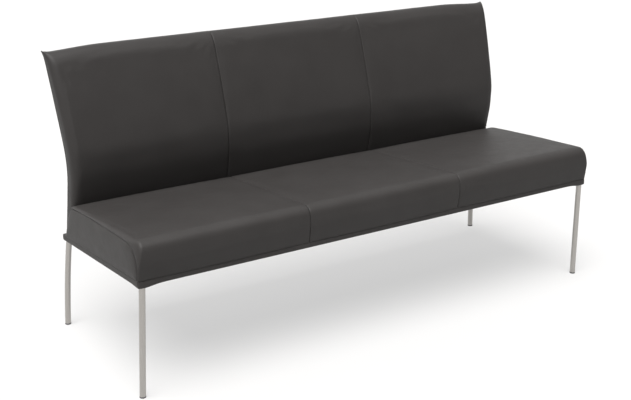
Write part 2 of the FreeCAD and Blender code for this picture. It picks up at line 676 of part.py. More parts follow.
def fit_legs(parts):
    """Plates let into the board, their screws and tee nuts, and the cut-outs round plates and tubes."""
    outline = prism_w(base_outline(COVER), COVER, COVER + PLATE_THICKNESS)
    screws, nuts = [], []
    length = BOARD_THICKNESS
    nut_w = BOARD_TOP - TEE_NUT_FLANGE_THICKNESS
    for word, place in plate_places().items():
        plate = plate_box(place, COVER, COVER + PLATE_THICKNESS).common(outline)
        cut_out = plate_box(place, -DUST_COVER_THICKNESS, COVER)
        drill(parts, ["base_board"], plate_box(place, COVER, COVER + PLATE_THICKNESS))
        drill(parts, ["dust_cover"] + [name for name in parts if name.startswith("hem_")], cut_out)
        for x, v in plate_screws(place):
            screw = countersunk(x, v, COVER, LEG_SCREW_DIAMETER, LEG_SCREW_HEAD, LEG_SCREW_HEAD_HEIGHT, length)
            plate = plate.cut(countersunk(x, v, COVER, LEG_SCREW_DIAMETER + 2 * CLEARANCE, LEG_SCREW_HEAD,
                                          LEG_SCREW_HEAD_HEIGHT, length))
            nut = tee_nut(vec(x, v, nut_w), vec(0, 0, 1), LEG_SCREW_DIAMETER, TEE_NUT_BARREL)
            sleeve = LEG_SCREW_DIAMETER / 2 + CLEARANCE / 2 + TEE_NUT_WALL
            drill(parts, ["base_board"], rod(sleeve, vec(x, v, 0.0), vec(x, v, BOARD_TOP)))
            drill(parts, ["base_board"], rod(TEE_NUT_FLANGE / 2, vec(x, v, nut_w), vec(x, v, BOARD_TOP)))
            screws.append(screw)
            nuts.append(nut)
        parts[f"leg_plate_{word}"] = plate
    parts["leg_screws"] = Part.makeCompound(screws)
    parts["leg_tee_nuts"] = Part.makeCompound(nuts)


def fit_back_bolts(parts):
    """Bolts from the seat box's rear rail, square to the raked plane, into the back's bottom rail."""
    axis = vec(0, math.cos(RAKE), math.sin(RAKE))
    rail_front = COVER + REAR_SKIRT + RAIL_THICKNESS
    bolts, washers, nuts = [], [], []
    shank = BOLT_DIAMETER / 2 + CLEARANCE
    through = ["seat_rear_rail", "seat_foam", "back_bottom_rail"]
    through += [name for name in parts if name.startswith(("seat_cover", "back_cover"))]
    for x in spread(BACK_BOLT_COUNT, BACK_BOLT_END_MARGIN):
        plane = vec(x, rake_v(BACK_BOLT_HEIGHT), BACK_BOLT_HEIGHT)
        seat = plane - axis * (rail_front + WASHER_THICKNESS)
        grip_end = plane + axis * (BACK_GAP + PANEL_CROWN + COVER + BACK_BOLT_REACH)
        length = (grip_end - seat).Length
        drill(parts, through, rod(shank, seat, grip_end))
        sleeve = BOLT_DIAMETER / 2 + CLEARANCE / 2 + TEE_NUT_WALL
        drill(parts, ["back_bottom_rail"], rod(sleeve, grip_end - axis * TEE_NUT_BARREL, grip_end))
        drill(parts, ["back_bottom_rail"], rod(TEE_NUT_FLANGE / 2, grip_end, grip_end + axis * BACK_FOOT_THICKNESS))
        bolts.append(cap_bolt(seat, axis, length))
        washers.append(washer(seat, axis))
        nuts.append(tee_nut(grip_end, axis, BOLT_DIAMETER, TEE_NUT_BARREL))
    parts["back_bolts"] = Part.makeCompound(bolts)
    parts["back_washers"] = Part.makeCompound(washers)
    parts["back_tee_nuts"] = Part.makeCompound(nuts)


def fit_foot_bolts(parts):
    """Bolts from below, through the board, into inserts in the back's bottom rail."""
    up = vec(0, 0, 1)
    v = (FRONT_FOOT_V + REAR_FOOT_V - SHELL_FRONT) / 2
    bore_top = COVER + BOLT_HEAD_HEIGHT + WASHER_THICKNESS
    insert_top = HEM_HEIGHT + FOOT_INSERT_LENGTH
    bolts, washers, inserts = [], [], []
    for x in spread(FOOT_BOLT_COUNT, FOOT_BOLT_END_MARGIN):
        seat = vec(x, v, COVER + BOLT_HEAD_HEIGHT)
        bolt_end = vec(x, v, insert_top)
        drill(parts, ["base_board"], rod(WASHER_DIAMETER / 2 + CLEARANCE, vec(x, v, 0), vec(x, v, bore_top)))
        drill(parts, ["base_board"], rod(BOLT_DIAMETER / 2 + CLEARANCE, vec(x, v, 0), vec(x, v, BOARD_TOP)))
        hole = rod(FOOT_INSERT_DIAMETER / 2, vec(x, v, HEM_HEIGHT), bolt_end)
        drill(parts, ["back_bottom_rail"], hole)
        inserts.append(hole.cut(rod(BOLT_DIAMETER / 2 + CLEARANCE / 2, vec(x, v, HEM_HEIGHT), bolt_end)))
        bolts.append(cap_bolt(seat, up, (bolt_end - seat).Length))
        washers.append(washer(seat, up))
    parts["foot_bolts"] = Part.makeCompound(bolts)
    parts["foot_washers"] = Part.makeCompound(washers)
    parts["foot_inserts"] = Part.makeCompound(inserts)


def fit_box_screws(parts):
    """Countersunk wood screws from below, through the board, into the front and rear rails."""
    screws = []
    length = BOARD_THICKNESS + BOX_SCREW_GRIP
    rear_v = rake_v(BOARD_TOP + BOX_SCREW_GRIP / 2, COVER + REAR_SKIRT + RAIL_THICKNESS / 2)
    for x in spread(BOX_SCREW_COUNT, PLATE_SIZE + TEE_NUT_FLANGE):
        for v, rail in ((BOX_FRONT_V + RAIL_THICKNESS / 2, "seat_front_rail"), (rear_v, "seat_rear_rail")):
            sizes = (BOX_SCREW_DIAMETER, BOX_SCREW_HEAD, BOX_SCREW_HEAD_HEIGHT, length)
            screw = countersunk(x, v, COVER, *sizes)
            drill(parts, ["base_board", rail], screw)
            screws.append(screw)
    parts["box_screws"] = Part.makeCompound(screws)


def build():
    """Every piece of the bench, standing on the floor and centred on the origin."""
    parts = {"base_board": prism_w(base_outline(COVER), COVER, BOARD_TOP), "dust_cover": dust_cover()}
    parts["seat_foam"] = seat_foam()
    for group in (hems(), seat_covers(), seat_wings(), seat_box(), back_parts()):
        parts.update(group)
    fit_legs(parts)
    fit_back_bolts(parts)
    fit_foot_bolts(parts)
    fit_box_screws(parts)
    parts = {name: tilted(shape) for name, shape in parts.items()}
    parts.update(leg_parts(False, "front"))
    parts.update(leg_parts(True, "rear"))
    boxes = [shape.optimalBoundingBox(False, False) for shape in parts.values()]
    middle = (min(b.YMin for b in boxes) + max(b.YMax for b in boxes)) / 2
    for shape in parts.values():
        shape.translate(vec(0, -middle, 0))
    return parts


os.makedirs("parts", exist_ok=True)
for name, shape in build().items():
    print(name, len(shape.Solids), shape.isValid(), round(shape.Volume))
    shape.exportStep(f"parts/{name}.step")
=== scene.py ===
import math

import bmesh
import bpy
from mathutils import Matrix, Vector, noise
from mathutils.bvhtree import BVHTree


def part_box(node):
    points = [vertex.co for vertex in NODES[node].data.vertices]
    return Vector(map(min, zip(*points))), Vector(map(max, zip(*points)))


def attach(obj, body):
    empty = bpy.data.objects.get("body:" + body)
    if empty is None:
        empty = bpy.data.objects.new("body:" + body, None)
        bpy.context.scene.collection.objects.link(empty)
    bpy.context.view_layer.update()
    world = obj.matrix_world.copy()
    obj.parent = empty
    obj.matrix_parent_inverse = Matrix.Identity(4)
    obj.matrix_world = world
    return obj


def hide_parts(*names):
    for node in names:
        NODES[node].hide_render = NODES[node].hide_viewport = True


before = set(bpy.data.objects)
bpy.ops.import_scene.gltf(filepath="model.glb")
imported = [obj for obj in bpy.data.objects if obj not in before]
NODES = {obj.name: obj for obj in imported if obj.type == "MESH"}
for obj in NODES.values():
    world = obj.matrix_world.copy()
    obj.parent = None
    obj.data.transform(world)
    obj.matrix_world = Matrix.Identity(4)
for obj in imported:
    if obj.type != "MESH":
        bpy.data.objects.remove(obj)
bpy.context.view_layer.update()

MM = 0.001

# Sizes shared with the construction, in mm. V runs back and W up, square to the tilted base.
SEAT_LENGTH = 1750.0
SEAT_DEPTH = 503.0
SEAT_HEIGHT = 134.0
SEAT_TILT = math.radians(4.8)
SEAT_CROWN = 4.0
SEAT_CROWN_RADIUS = 9000.0
SEAT_FOOT = 4.0
FRONT_BULGE = 17.0
FRONT_BULGE_HEIGHT = 80.0
FRONT_BULGE_RADIUS = 110.0
FRONT_EDGE_SET_BACK = 3.0
FRONT_EDGE_RADIUS = 30.0
REAR_EDGE_RADIUS = 18.0
WING_DEPTH = 33.0
BASE_FRONT_HEIGHT = 357.0
HEM_HEIGHT = 20.0
HEM_OVERLAP = 3.0
HEM_REAR_LEDGE = 7.0
HEM_UNDER = 28.0
HEM_OVER = 12.0
HEM_CORNER_RADIUS = 8.0
PANEL_CROWN = 1.5
BACK_HEIGHT = 617.0
BACK_GAP = 0.6
RAKE = math.radians(16.7)
LEAN = math.radians(12.4)
LUMBAR_HEIGHT = 262.0
LUMBAR_RADIUS = 250.0
REAR_LUMBAR_RADIUS = 300.0
BACK_THICKNESS = 62.0
BACK_FOOT_THICKNESS = 57.0
BACK_TOP_THICKNESS = 42.0
BACK_TOP_RADIUS = 24.0
BACK_CORNER_RADIUS = 24.0
CORNER_IN_PADDING = 0.9  # most of that radius, as shares of the padding and of the depth
CORNER_IN_DEPTH = 0.6
BACK_SHELL_FRONT = 20.9  # rear leather, rear foam and shell, with the air between
BACK_TOP_OUTSET = 1.0
BACK_WAIST_INSET = 21.0
BACK_FOOT_INSET = 14.0
BACK_WAIST_HEIGHT = 225.0
BACK_FLARE_POWER = 1.3

# Derived from them
SEAM_X = SEAT_LENGTH / 6
HEM_HALF = SEAT_LENGTH / 2 - HEM_OVERLAP
BACK_FRONT_V = SEAT_DEPTH + (BACK_GAP + PANEL_CROWN) / math.cos(RAKE)
LUMBAR_V = BACK_FRONT_V - (LUMBAR_HEIGHT - SEAT_HEIGHT) * math.tan(RAKE)
REAR_FOOT_V = BACK_FRONT_V + (SEAT_HEIGHT - HEM_HEIGHT) * math.tan(RAKE) + BACK_FOOT_THICKNESS
REAR_LUMBAR_V = LUMBAR_V + BACK_THICKNESS
REAR_TOP_V = LUMBAR_V + (BACK_HEIGHT - LUMBAR_HEIGHT) * math.tan(LEAN) + BACK_TOP_THICKNESS
REAR_RAKE = math.atan((REAR_FOOT_V - REAR_LUMBAR_V) / (LUMBAR_HEIGHT - HEM_HEIGHT))
REAR_LEAN = math.atan((REAR_TOP_V - REAR_LUMBAR_V) / (BACK_HEIGHT - LUMBAR_HEIGHT))
BASE_DEPTH = REAR_FOOT_V + HEM_REAR_LEDGE
BASE_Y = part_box("hem_front")[0].y / MM

# Sewn leather, in mm
LEATHER = 1.3
MERGE_DISTANCE = 0.05
EVEN_SHARE = 0.45  # of the spacing of points, the rest draws them towards both ends
SEAM_DEPTH = 3.4  # sharp hollow at a seam
SEAM_EASE = 1.1
SEAM_SOFT_DEPTH = 0.3  # wider, softer hollow round it
SEAM_SOFT_EASE = 14.0
SEAM_STEPS = (0.0, 0.9, 2.0, 3.8)
SEAM_EXTRA = 2 * (len(SEAM_STEPS) - 1)  # places that two seams add to a spacing
ARC_STEP = 0.3  # most step round a corner, in radii
SEAT_SEAM_SHIFT = -10.0  # the panel seams sit a little to the left of true thirds
BACK_SEAM_SHIFT = -16.0

# Top and front of the seat, in mm
SEAT_STEP = 8.5  # between points of the side outline
SEAT_MIDDLE_COLUMNS = 60
SEAT_OUTER_COLUMNS = 58
REAR_FACE_BAND = 8.0  # points this near the rake line lie against the back
REAR_FACE_GAP = 0.4
SEAT_HELD_BAND = 10.0  # leather this near the back keeps its place in the cloth run

# Ends of the seat, in mm
EDGE_SEAM_DEPTH = 3.4  # hollow of the end seams
END_SEAM_INSET = 4.0  # from the fullest part of the end
END_SEAM_PULL = 0.5  # how far a hollow seam is drawn to the middle, as a share of its depth
END_BLEND_POWER = 4  # how late the top leather takes up the uneven start of its roll
END_ROLL_TURN = math.radians(70.0)  # how far the top leather rolls over before the seam
END_ROLL_REAR = 12.0  # length of that roll at the rear
END_ROLL_FRONT = 20.0  # and at the front top corner, where it falls away sooner
END_ROLL_FOOT = 7.0  # and down the front to the hem
END_DROP_REAR = 4.0  # depth of the end seam under the seat's outline at the rear
END_DROP_FRONT = 12.0  # and at the front top corner
END_DROP_FOOT = 4.0  # and where it runs down the front to the hem
END_CHANGE_START = 420.0  # depth from which these sizes change towards the front
END_CHANGE_LENGTH = 340.0
END_CORNER_RADIUS = 62.0  # of the end seam at its front top corner
END_CORNER_BELOW = 1.45  # how far under the top that corner starts, in radii
END_CORNER_BEHIND = 2.5  # and how far back it ends
END_CORNER_DROP = 5.0  # of its point under the end of the arc
END_CORNER_STEP = 2.0
END_SEAM_LEAN = 7.0  # of the seam down the front, back towards its top
PUCKER_DEPTH = 0.9  # gathers where the top leather turns the front end corner
PUCKER_PITCH = 15.0
PUCKER_REACH = 34.0  # from the seam
PUCKER_SPREAD = 42.0  # along the outline
END_COLUMNS = 70  # grid of an end panel
END_ROWS = 26
END_TURNED_COLUMNS = 5  # more columns, turned in behind
END_TURNED_STEP = 3.2
END_TURNED_FULLNESS = 1.4
END_LENGTH = 520.0  # lengths by which its grid is spaced
END_HEIGHT = 105.0
END_REAR_REACH = 550.0
END_REAR_INSET = 1.5  # of its lower rear corner from the hem's end
END_REAR_FULL_HEIGHT = 80.0
END_REAR_FULL_INSET = 2.0
END_REAR_FULLNESS = 2.0
END_DOME_EDGE = 2.5  # the dome rises fast next to the seam
END_DOME_EASE = 14.0  # and slowly further in
END_FOOT_REACH = 1.0
BORDER_POINTS = 300

# Hem, in mm
HEM_TUCK = 3.0  # of the panels into it
PANEL_FOOT = HEM_HEIGHT - HEM_TUCK
HEM_STEP = 14.0
HEM_DROOP = 6.0  # it hangs lower where it wraps the front legs
HEM_DROOP_LENGTH = 32.0
HEM_DROOP_PLACE = 22.0  # from the front corner
HEM_WAVE = 0.4
HEM_WAVE_LENGTH = 60.0
# Distance in from the edge of the base and height, from under the board to over it
HEM_PROFILE = ((HEM_UNDER, 0.0), (HEM_UNDER / 2, 0.0), (3.0, 0.0), (0.9, 0.7), (0.1, 2.6), (-0.3, 6.0),
               (-0.5, 10.0), (-0.3, 14.0), (0.2, 17.2), (1.2, 19.2), (3.4, 20.0), (HEM_OVER, 20.0))

# Back, in mm
BACK_ROWS = 58
BACK_MIDDLE_COLUMNS = 56
BACK_OUTER_COLUMNS = 54
BACK_REAR_COLUMNS = 46
BACK_HELD_HEIGHT = 8.0  # leather up to this far over the seat keeps its place in the cloth run
BACK_CROWN = 8.0  # fullness of the front leather between lumbar bend and top
BACK_FULLNESS = 3.0  # of the padding at the ends
TOP_ROLL_HEIGHT = 45.0  # slow roll of the front leather over the top
TOP_ROLL_STEPS = 12
END_ROLL_STRETCH = 1.15  # and round the ends, wider than deep
END_ROLL_STEPS = 10
TOP_RISE = 4.5  # the top edge stands a little proud in the middle
TOP_DIP = 8.5  # and falls towards its ends
TOP_DIP_LENGTH = 190.0
TOP_FADE = 70.0  # height over which this fades out below
EAR_LENGTH = 5.0  # points of the seam at the top rear corners
EAR_SPREAD = 7.0
EAR_WAY = (0.72, 0.2, 0.66)
BACK_SEAM_DEPTH = 2.4  # hollow of the rear seam
BACK_SEAM_FOOT = 0.35  # share of that depth left at the foot
BACK_SEAM_FADE = 80.0  # height over which it deepens
REAR_SEAM_INSET = 7.0  # of that seam, forward of the rear face
REAR_SEAM_EASE = 1.8  # width of the seams between the rear panels
REAR_CROWN = 0.9  # fullness of the rear panels
REAR_CROWN_EASE = 40.0
REAR_EDGE_ROLL = 4.0  # radius of the rear panels round their edge
REAR_EDGE_TURNS = (30.0, 60.0, 90.0)
# Share of the depth of the rear seam, and the way left to it
REAR_EDGE_DROP = ((0.0, 1.8), (0.3, 0.7), (1.0, 0.0))
INSIDE_HEIGHT = 300.0  # of a point inside the back
INSIDE_FACE_HEIGHT = 400.0

# Stitches, in mm
STITCH_PITCH = 5.0
STITCH_LENGTH = 3.4
STITCH_SHARE = 0.9  # place of the end stitches on the roll
STITCH_STOP = 12.0  # where they end, in front of the back
STITCH_INSET = 5.0  # from the rear seam of the back
STITCH_CORNER = 6.0  # from the top corners
STITCH_REACH = 0.3  # over the drawn leather, before they are laid on it
STITCH_POINTS = 60
THREAD_RADIUS = 0.42
THREAD_RISE = 0.15  # of its middle line over the leather

# Short cloth run that swells each panel over its foam, sizes in mm
CLOTH_PRESSURE = 4.0
CLOTH_FRAMES = 20
CLOTH_QUALITY = 4
CLOTH_VERTEX_MASS = 0.02
MOST_SWELL = 1.2  # outwards only
SWELL_EASE = 0.8
RIPPLE_DEPTH = 0.45  # slow unevenness of leather over foam
RIPPLE_LENGTH = 75.0
FINE_RIPPLE = 0.4  # length of a finer ripple, as a share
FINE_RIPPLE_DEPTH = 0.5

SIDES = ((-1, "left"), (1, "right"))

# Camera, solved from the photo, in metres and degrees, its lens and sensor in mm
CAMERA_PLACE = (-1.9930, -2.9940, 1.6178)
CAMERA_YAW = 32.566
CAMERA_PITCH = 19.225
CAMERA_LENS = 63.39
CAMERA_SENSOR = 36.0
FAR_LIMIT = 200.0

# Stage, in metres
FLOOR_HALF = 40.0
BACKDROP_RADIUS = 70.0
LAMP_PLACE = (-1.0, -0.85, 3.0)
LAMP_ENERGY = 6.2
LAMP_ANGLE = math.radians(50.0)
SURROUND_EDGE = 0.25  # rise at which the surround starts to brighten
SURROUND_ABOVE = (0.02, 0.4)
SURROUND_BEHIND = (0.03, 1.2)
FLOOR_GLOW = 0.55


# Frames and paths

def place(x, v, w):
    """World point, in metres, of a point given square to the tilted base in mm."""
    y = BASE_Y + v * math.cos(SEAT_TILT) + w * math.sin(SEAT_TILT)
    z = BASE_FRONT_HEIGHT - v * math.sin(SEAT_TILT) + w * math.cos(SEAT_TILT)
    return Vector((x, y, z)) * MM


def base_place(point):
    """The x, V and W, in mm, of a world point."""
    x, y, z = point / MM
    y -= BASE_Y
    z -= BASE_FRONT_HEIGHT
    v = y * math.cos(SEAT_TILT) - z * math.sin(SEAT_TILT)
    w = y * math.sin(SEAT_TILT) + z * math.cos(SEAT_TILT)
    return x, v, w


def smooth_step(share):
    share = min(1.0, max(0.0, share))
    return share * share * (3 - 2 * share)


def spaced(start, end, count):
    """Places from start to end, closer together towards both."""
    places = []
    for k in range(count + 1):
        even_share = k / count
        eased = 0.5 - 0.5 * math.cos(math.pi * even_share)
        places.append(start + (end - start) * (EVEN_SHARE * even_share + (1 - EVEN_SHARE) * eased))
    return places


def seam_spaced(start, end, count, both=True):
    """Places from a seam to an end, with a few close to the seam; both says if the end is a seam too."""
    far = SEAM_STEPS[-1]
    places = [start + step for step in SEAM_STEPS[:-1]]
    places += spaced(start + far, end - far if both else end, count)
    if both:
        places += [end - step for step in SEAM_STEPS[-2::-1]]
    return places


def rounded_path(corners, step):
    """Points along a line through corners given as (a, b, radius), at most a step apart."""
    marks = [Vector(corners[0][:2])]
    for before, corner, after in zip(corners, corners[1:], corners[2:]):
        here = Vector(corner[:2])
        into = (here - Vector(before[:2])).normalized()
        out = (Vector(after[:2]) - here).normalized()
        turn = into.angle(out)
        side = (out - into * into.dot(out)).normalized()
        radius = corner[2]
        start = here - into * radius * math.tan(turn / 2)
        count = max(2, math.ceil(radius * turn / min(step, ARC_STEP * radius)))
        for k in range(count + 1):
            angle = turn * k / count
            marks.append(start + into * radius * math.sin(angle) + side * radius * (1 - math.cos(angle)))
    marks.append(Vector(corners[-1][:2]))
    points = [marks[0]]
    for start, end in zip(marks, marks[1:]):
        count = max(1, math.ceil((end - start).length / step))
        points += [start.lerp(end, k / count) for k in range(1, count + 1)]
    return points


def path_run(points):
    """Length along a path at each of its points."""
    run = [0.0]
    for start, end in zip(points, points[1:]):
        run.append(run[-1] + (end - start).length)
    return run


def even(count):
    return [k / count for k in range(count + 1)]


def resampled(points, shares):
    """Points along a path at rising shares of its length."""
    run = path_run(points)
    found = []
    k = 0
    for part in shares:
        target = run[-1] * part
        while k < len(run) - 2 and run[k + 1] < target:
            k += 1
        share = (target - run[k]) / max(run[k + 1] - run[k], 1e-9)
        found.append(points[k].lerp(points[k + 1], min(share, 1.0)))
    return found


def inward_normals(points):
    """Normals of a path that goes up the front, back over the top and down the rear."""
    normals = []
    for k in range(len(points)):
        along = (points[min(k + 1, len(points) - 1)] - points[max(k - 1, 0)]).normalized()
        normals.append(Vector((along.y, -along.x)))
    return normals


def seam_hollow(distance):
    sharp = SEAM_DEPTH * math.exp(-abs(distance) / SEAM_EASE)
    return sharp + SEAM_SOFT_DEPTH * math.exp(-abs(distance) / SEAM_SOFT_EASE)


def middle_inset(from_middle):
    """How far a middle panel goes in: hollow at its two seams and domed between them."""
    from_seam = SEAM_X - abs(from_middle)
    crown = PANEL_CROWN * from_seam * (2 * SEAM_X - from_seam) / SEAM_X ** 2
    return seam_hollow(from_seam) - crown


def outer_inset(from_seam, along):
    """How far an outer panel goes in: hollow at its seam and domed along its share of the width."""
    return seam_hollow(from_seam) - PANEL_CROWN * 4 * along * (1 - along)


# Meshes

def linked(name, bm):
    """Object at the origin that holds a finished bmesh."""
    mesh = bpy.data.meshes.new(name)
    bm.to_mesh(mesh)
    bm.free()
    piece = bpy.data.objects.new(name, mesh)
    bpy.context.scene.collection.objects.link(piece)
    return piece


def new_piece(name, bm):
    """Turns a finished bmesh into a piece of the bench."""
    piece = linked(name, bm)
    for face in piece.data.polygons:
        face.use_smooth = True
    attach(piece, "root")
    return piece


def face_away(bm, centre):
    """Turns all faces of a sheet so that they look away from a point inside."""
    bm.normal_update()
    outward = 0.0
    for face in bm.faces:
        outward += face.calc_area() * face.normal.dot(face.calc_center_median() - centre)
    if outward < 0:
        bmesh.ops.reverse_faces(bm, faces=bm.faces[:])


def drawn_from(vert, fresh):
    """The fresh vertex that was drawn out of a vertex."""
    return next(edge.other_vert(vert) for edge in vert.link_edges if edge.other_vert(vert) in fresh)


def drawn_sheet(rows, closed=False):
    """Sheet drawn out edge by edge from its first row of points through the other rows."""
    bm = bmesh.new()
    line = [bm.verts.new(point) for point in rows[0]]
    ends = zip(line, line[1:] + line[:1] if closed else line[1:])
    edges = [bm.edges.new(pair) for pair in ends]
    for row in rows[1:]:
        drawn = bmesh.ops.extrude_edge_only(bm, edges=edges)["geom"]
        fresh = {item for item in drawn if isinstance(item, bmesh.types.BMVert)}
        made = [item for item in drawn if isinstance(item, bmesh.types.BMEdge)]
        edges = [edge for edge in made if fresh.issuperset(edge.verts)]
        line = [drawn_from(vert, fresh) for vert in line]
        for vert, point in zip(line, row):
            vert.co = point
    return bm


def leather_panel(name, bm, inside, held, replaced):
    """Sewn panel: faces outward, its seams and the held places marked for the cloth run."""
    bmesh.ops.remove_doubles(bm, verts=bm.verts[:], dist=MERGE_DISTANCE * MM)
    face_away(bm, inside)
    bm.verts.index_update()
    seams = [vert.index for vert in bm.verts if vert.is_boundary or held(*base_place(vert.co))]
    piece = new_piece(name, bm)
    piece.vertex_groups.new(name="seams").add(seams, 1.0, "REPLACE")
    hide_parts(*replaced)
    return piece


def held_nowhere(x, v, w):
    return False


def swell(panels):
    """Leather over foam: a short cloth run presses each panel out between its seams."""
    scene = bpy.context.scene
    for panel in panels:
        cloth = panel.modifiers.new("Leather over foam", "CLOTH")
        cloth.settings.quality = CLOTH_QUALITY
        cloth.settings.mass = CLOTH_VERTEX_MASS
        cloth.settings.use_pressure = True
        cloth.settings.uniform_pressure_force = CLOTH_PRESSURE
        cloth.settings.vertex_group_mass = "seams"
        cloth.settings.effector_weights.gravity = 0.0
        cloth.collision_settings.use_collision = False
        cloth.point_cache.frame_end = CLOTH_FRAMES
    for step in range(1, CLOTH_FRAMES + 1):
        scene.frame_set(step)
    shapes = bpy.context.evaluated_depsgraph_get()
    for panel in panels:
        swollen = [vert.co.copy() for vert in panel.evaluated_get(shapes).data.vertices]
        panel.modifiers.clear()
        outward = [vert.normal.copy() for vert in panel.data.vertices]
        for vert, target, normal in zip(panel.data.vertices, swollen, outward):
            rise = (target - vert.co).dot(normal) / MM
            rise = 0.5 * (rise + math.hypot(rise, SWELL_EASE) - SWELL_EASE)
            vert.co += normal * MOST_SWELL * math.tanh(rise / MOST_SWELL) * MM
        panel.data.update()
    scene.frame_set(1)


def ripple(panel):
    """Slow unevenness of hand-drawn leather, none at the seams."""
    held = panel.vertex_groups["seams"].index
    moves = []
    for vert in panel.data.vertices:
        seam = any(group.group == held for group in vert.groups)
        wave = noise.noise(vert.co / (RIPPLE_LENGTH * MM))
        wave += FINE_RIPPLE_DEPTH * noise.noise(vert.co / (FINE_RIPPLE * RIPPLE_LENGTH * MM))
        moves.append(Vector() if seam else vert.normal * wave * RIPPLE_DEPTH * MM)
    for vert, move in zip(panel.data.vertices, moves):
        vert.co += move
    panel.data.update()


def smooth_thick(piece, thickness):
    """One subdivision, then the leather's thickness, laid inwards."""
    finer = piece.modifiers.new("Finer", "SUBSURF")
    finer.levels = 1
    finer.render_levels = 1
    skin = piece.modifiers.new("Thickness", "SOLIDIFY")
    skin.thickness = thickness * MM
    skin.offset = -1.0


# Seat

def rake_v(w):
    """Depth of the seat's rear face at a height."""
    return SEAT_DEPTH + (SEAT_HEIGHT - w) * math.tan(RAKE)


def seat_path():
    """Side outline of the seat from the hem in front, over the top, to the hem behind."""
    edge_v = FRONT_EDGE_SET_BACK - FRONT_BULGE
    foot_v = SEAT_FOOT - (SEAT_FOOT + FRONT_BULGE) * PANEL_FOOT / FRONT_BULGE_HEIGHT
    corners = [
        (foot_v, PANEL_FOOT, 0.0),
        (-FRONT_BULGE, FRONT_BULGE_HEIGHT, FRONT_BULGE_RADIUS),
        (edge_v, SEAT_HEIGHT, FRONT_EDGE_RADIUS),
        ((SEAT_DEPTH + edge_v) / 2, SEAT_HEIGHT + SEAT_CROWN, SEAT_CROWN_RADIUS),
        (SEAT_DEPTH, SEAT_HEIGHT, REAR_EDGE_RADIUS),
        (rake_v(PANEL_FOOT), PANEL_FOOT, 0.0),
    ]
    return rounded_path(corners, SEAT_STEP)


def nearest(points, v, w):
    """Number of the point of a path that lies nearest to a place."""
    return min(range(len(points)), key=lambda k: (points[k] - Vector((v, w))).length)


SEAT_PATH = seat_path()
SEAT_NORMALS = inward_normals(SEAT_PATH)
SEAT_RUN = path_run(SEAT_PATH)
FRONT_CORNER = nearest(SEAT_PATH, -FRONT_BULGE, SEAT_HEIGHT)
REAR_CORNER = nearest(SEAT_PATH, SEAT_DEPTH, SEAT_HEIGHT)
END_SEAM_X = SEAT_LENGTH / 2 - END_SEAM_INSET
OUTER_MIDDLE_X = 0.6 * END_SEAM_X  # inside an outer third of the bench


def pucker(run, from_seam):
    """Depth of the gathers at a length along the outline and a distance from the end seam."""
    from_corner = (run - SEAT_RUN[FRONT_CORNER]) / PUCKER_SPREAD
    fade = math.exp(-from_corner ** 2 - from_seam / PUCKER_REACH)
    return PUCKER_DEPTH * fade * (0.5 - 0.5 * math.cos(2 * math.pi * run / PUCKER_PITCH))


def seat_inset(k, inset):
    """How far a point of the outline goes in; the face against the back never swells."""
    point = SEAT_PATH[k]
    if point.x > rake_v(point.y) - REAR_FACE_BAND:
        return max(inset, 0.0) + REAR_FACE_GAP
    return inset


def toward_front(v, rear, front):
    """A size that changes from its rear to its front value along an end."""
    return rear + (front - rear) * smooth_step((END_CHANGE_START - v) / END_CHANGE_LENGTH)


def roll_share(share):
    """Share of the drop to the end seam at a share of the roll."""
    return (1 - math.cos(END_ROLL_TURN * share)) / (1 - math.cos(END_ROLL_TURN))


def toward_foot(k, value, foot):
    """A size of the front top corner that changes to another value down the front."""
    below = SEAT_RUN[FRONT_CORNER] - SEAT_RUN[k]
    return value + (foot - value) * smooth_step(below / END_CORNER_RADIUS)


def roll_x(k, share):
    """Distance from the bench's middle of a point of the outline on its roll over an end."""
    length = toward_front(SEAT_PATH[k].x, END_ROLL_REAR, END_ROLL_FRONT)
    length = toward_foot(k, length, END_ROLL_FOOT)
    return END_SEAM_X - length * (1 - math.sin(END_ROLL_TURN * share) / math.sin(END_ROLL_TURN))


def drawn_in_outline():
    """The seat's outline drawn in by its drop to the end seam, as V and W."""
    drawn = []
    for k, (point, normal) in enumerate(zip(SEAT_PATH, SEAT_NORMALS)):
        drop = toward_front(point.x, END_DROP_REAR, END_DROP_FRONT)
        drawn.append(point + normal * seat_inset(k, toward_foot(k, drop, END_DROP_FOOT)))
    return drawn


def run_shares(first, last):
    """Shares of the way along the outline from one of its points to another."""
    length = SEAT_RUN[last] - SEAT_RUN[first]
    return [(run - SEAT_RUN[first]) / length for run in SEAT_RUN[first:last + 1]]


def end_seam():
    """The end seam as V and W, point by point of the outline, with a rounder front top corner."""
    drawn = drawn_in_outline()
    highest = SEAT_HEIGHT - END_CORNER_BELOW * END_CORNER_RADIUS
    last = [k for k in range(FRONT_CORNER) if SEAT_PATH[k].y < highest][-1]
    foremost = END_CORNER_BEHIND * END_CORNER_RADIUS
    first = [k for k in range(FRONT_CORNER, REAR_CORNER) if SEAT_PATH[k].x > foremost][0]
    turn = Vector((drawn[last].x + END_SEAM_LEAN, drawn[first].y - END_CORNER_DROP))
    marks = [(*drawn[last], 0.0), (*turn, END_CORNER_RADIUS), (*drawn[first], 0.0)]
    corner = rounded_path(marks, END_CORNER_STEP)
    middle = nearest(corner, *turn)
    front = drawn[:last + 1] + corner[1:middle + 1]
    top = corner[middle:] + drawn[first + 1:REAR_CORNER + 1]
    seam = resampled(front, run_shares(0, FRONT_CORNER))
    seam += resampled(top, run_shares(FRONT_CORNER, REAR_CORNER))[1:]
    return seam + drawn[REAR_CORNER + 1:]


END_SEAM = end_seam()


def end_point(k, share, drawn_in, gather=0.0):
    """Point of the outline on the roll over an end, as x, V and W; share 1 is the seam."""
    inward = END_SEAM[k] - SEAT_PATH[k]
    spot = SEAT_PATH[k] + inward * roll_share(share) + inward.normalized() * (drawn_in + gather)
    return Vector((roll_x(k, share) - END_SEAM_PULL * drawn_in, spot.x, spot.y))


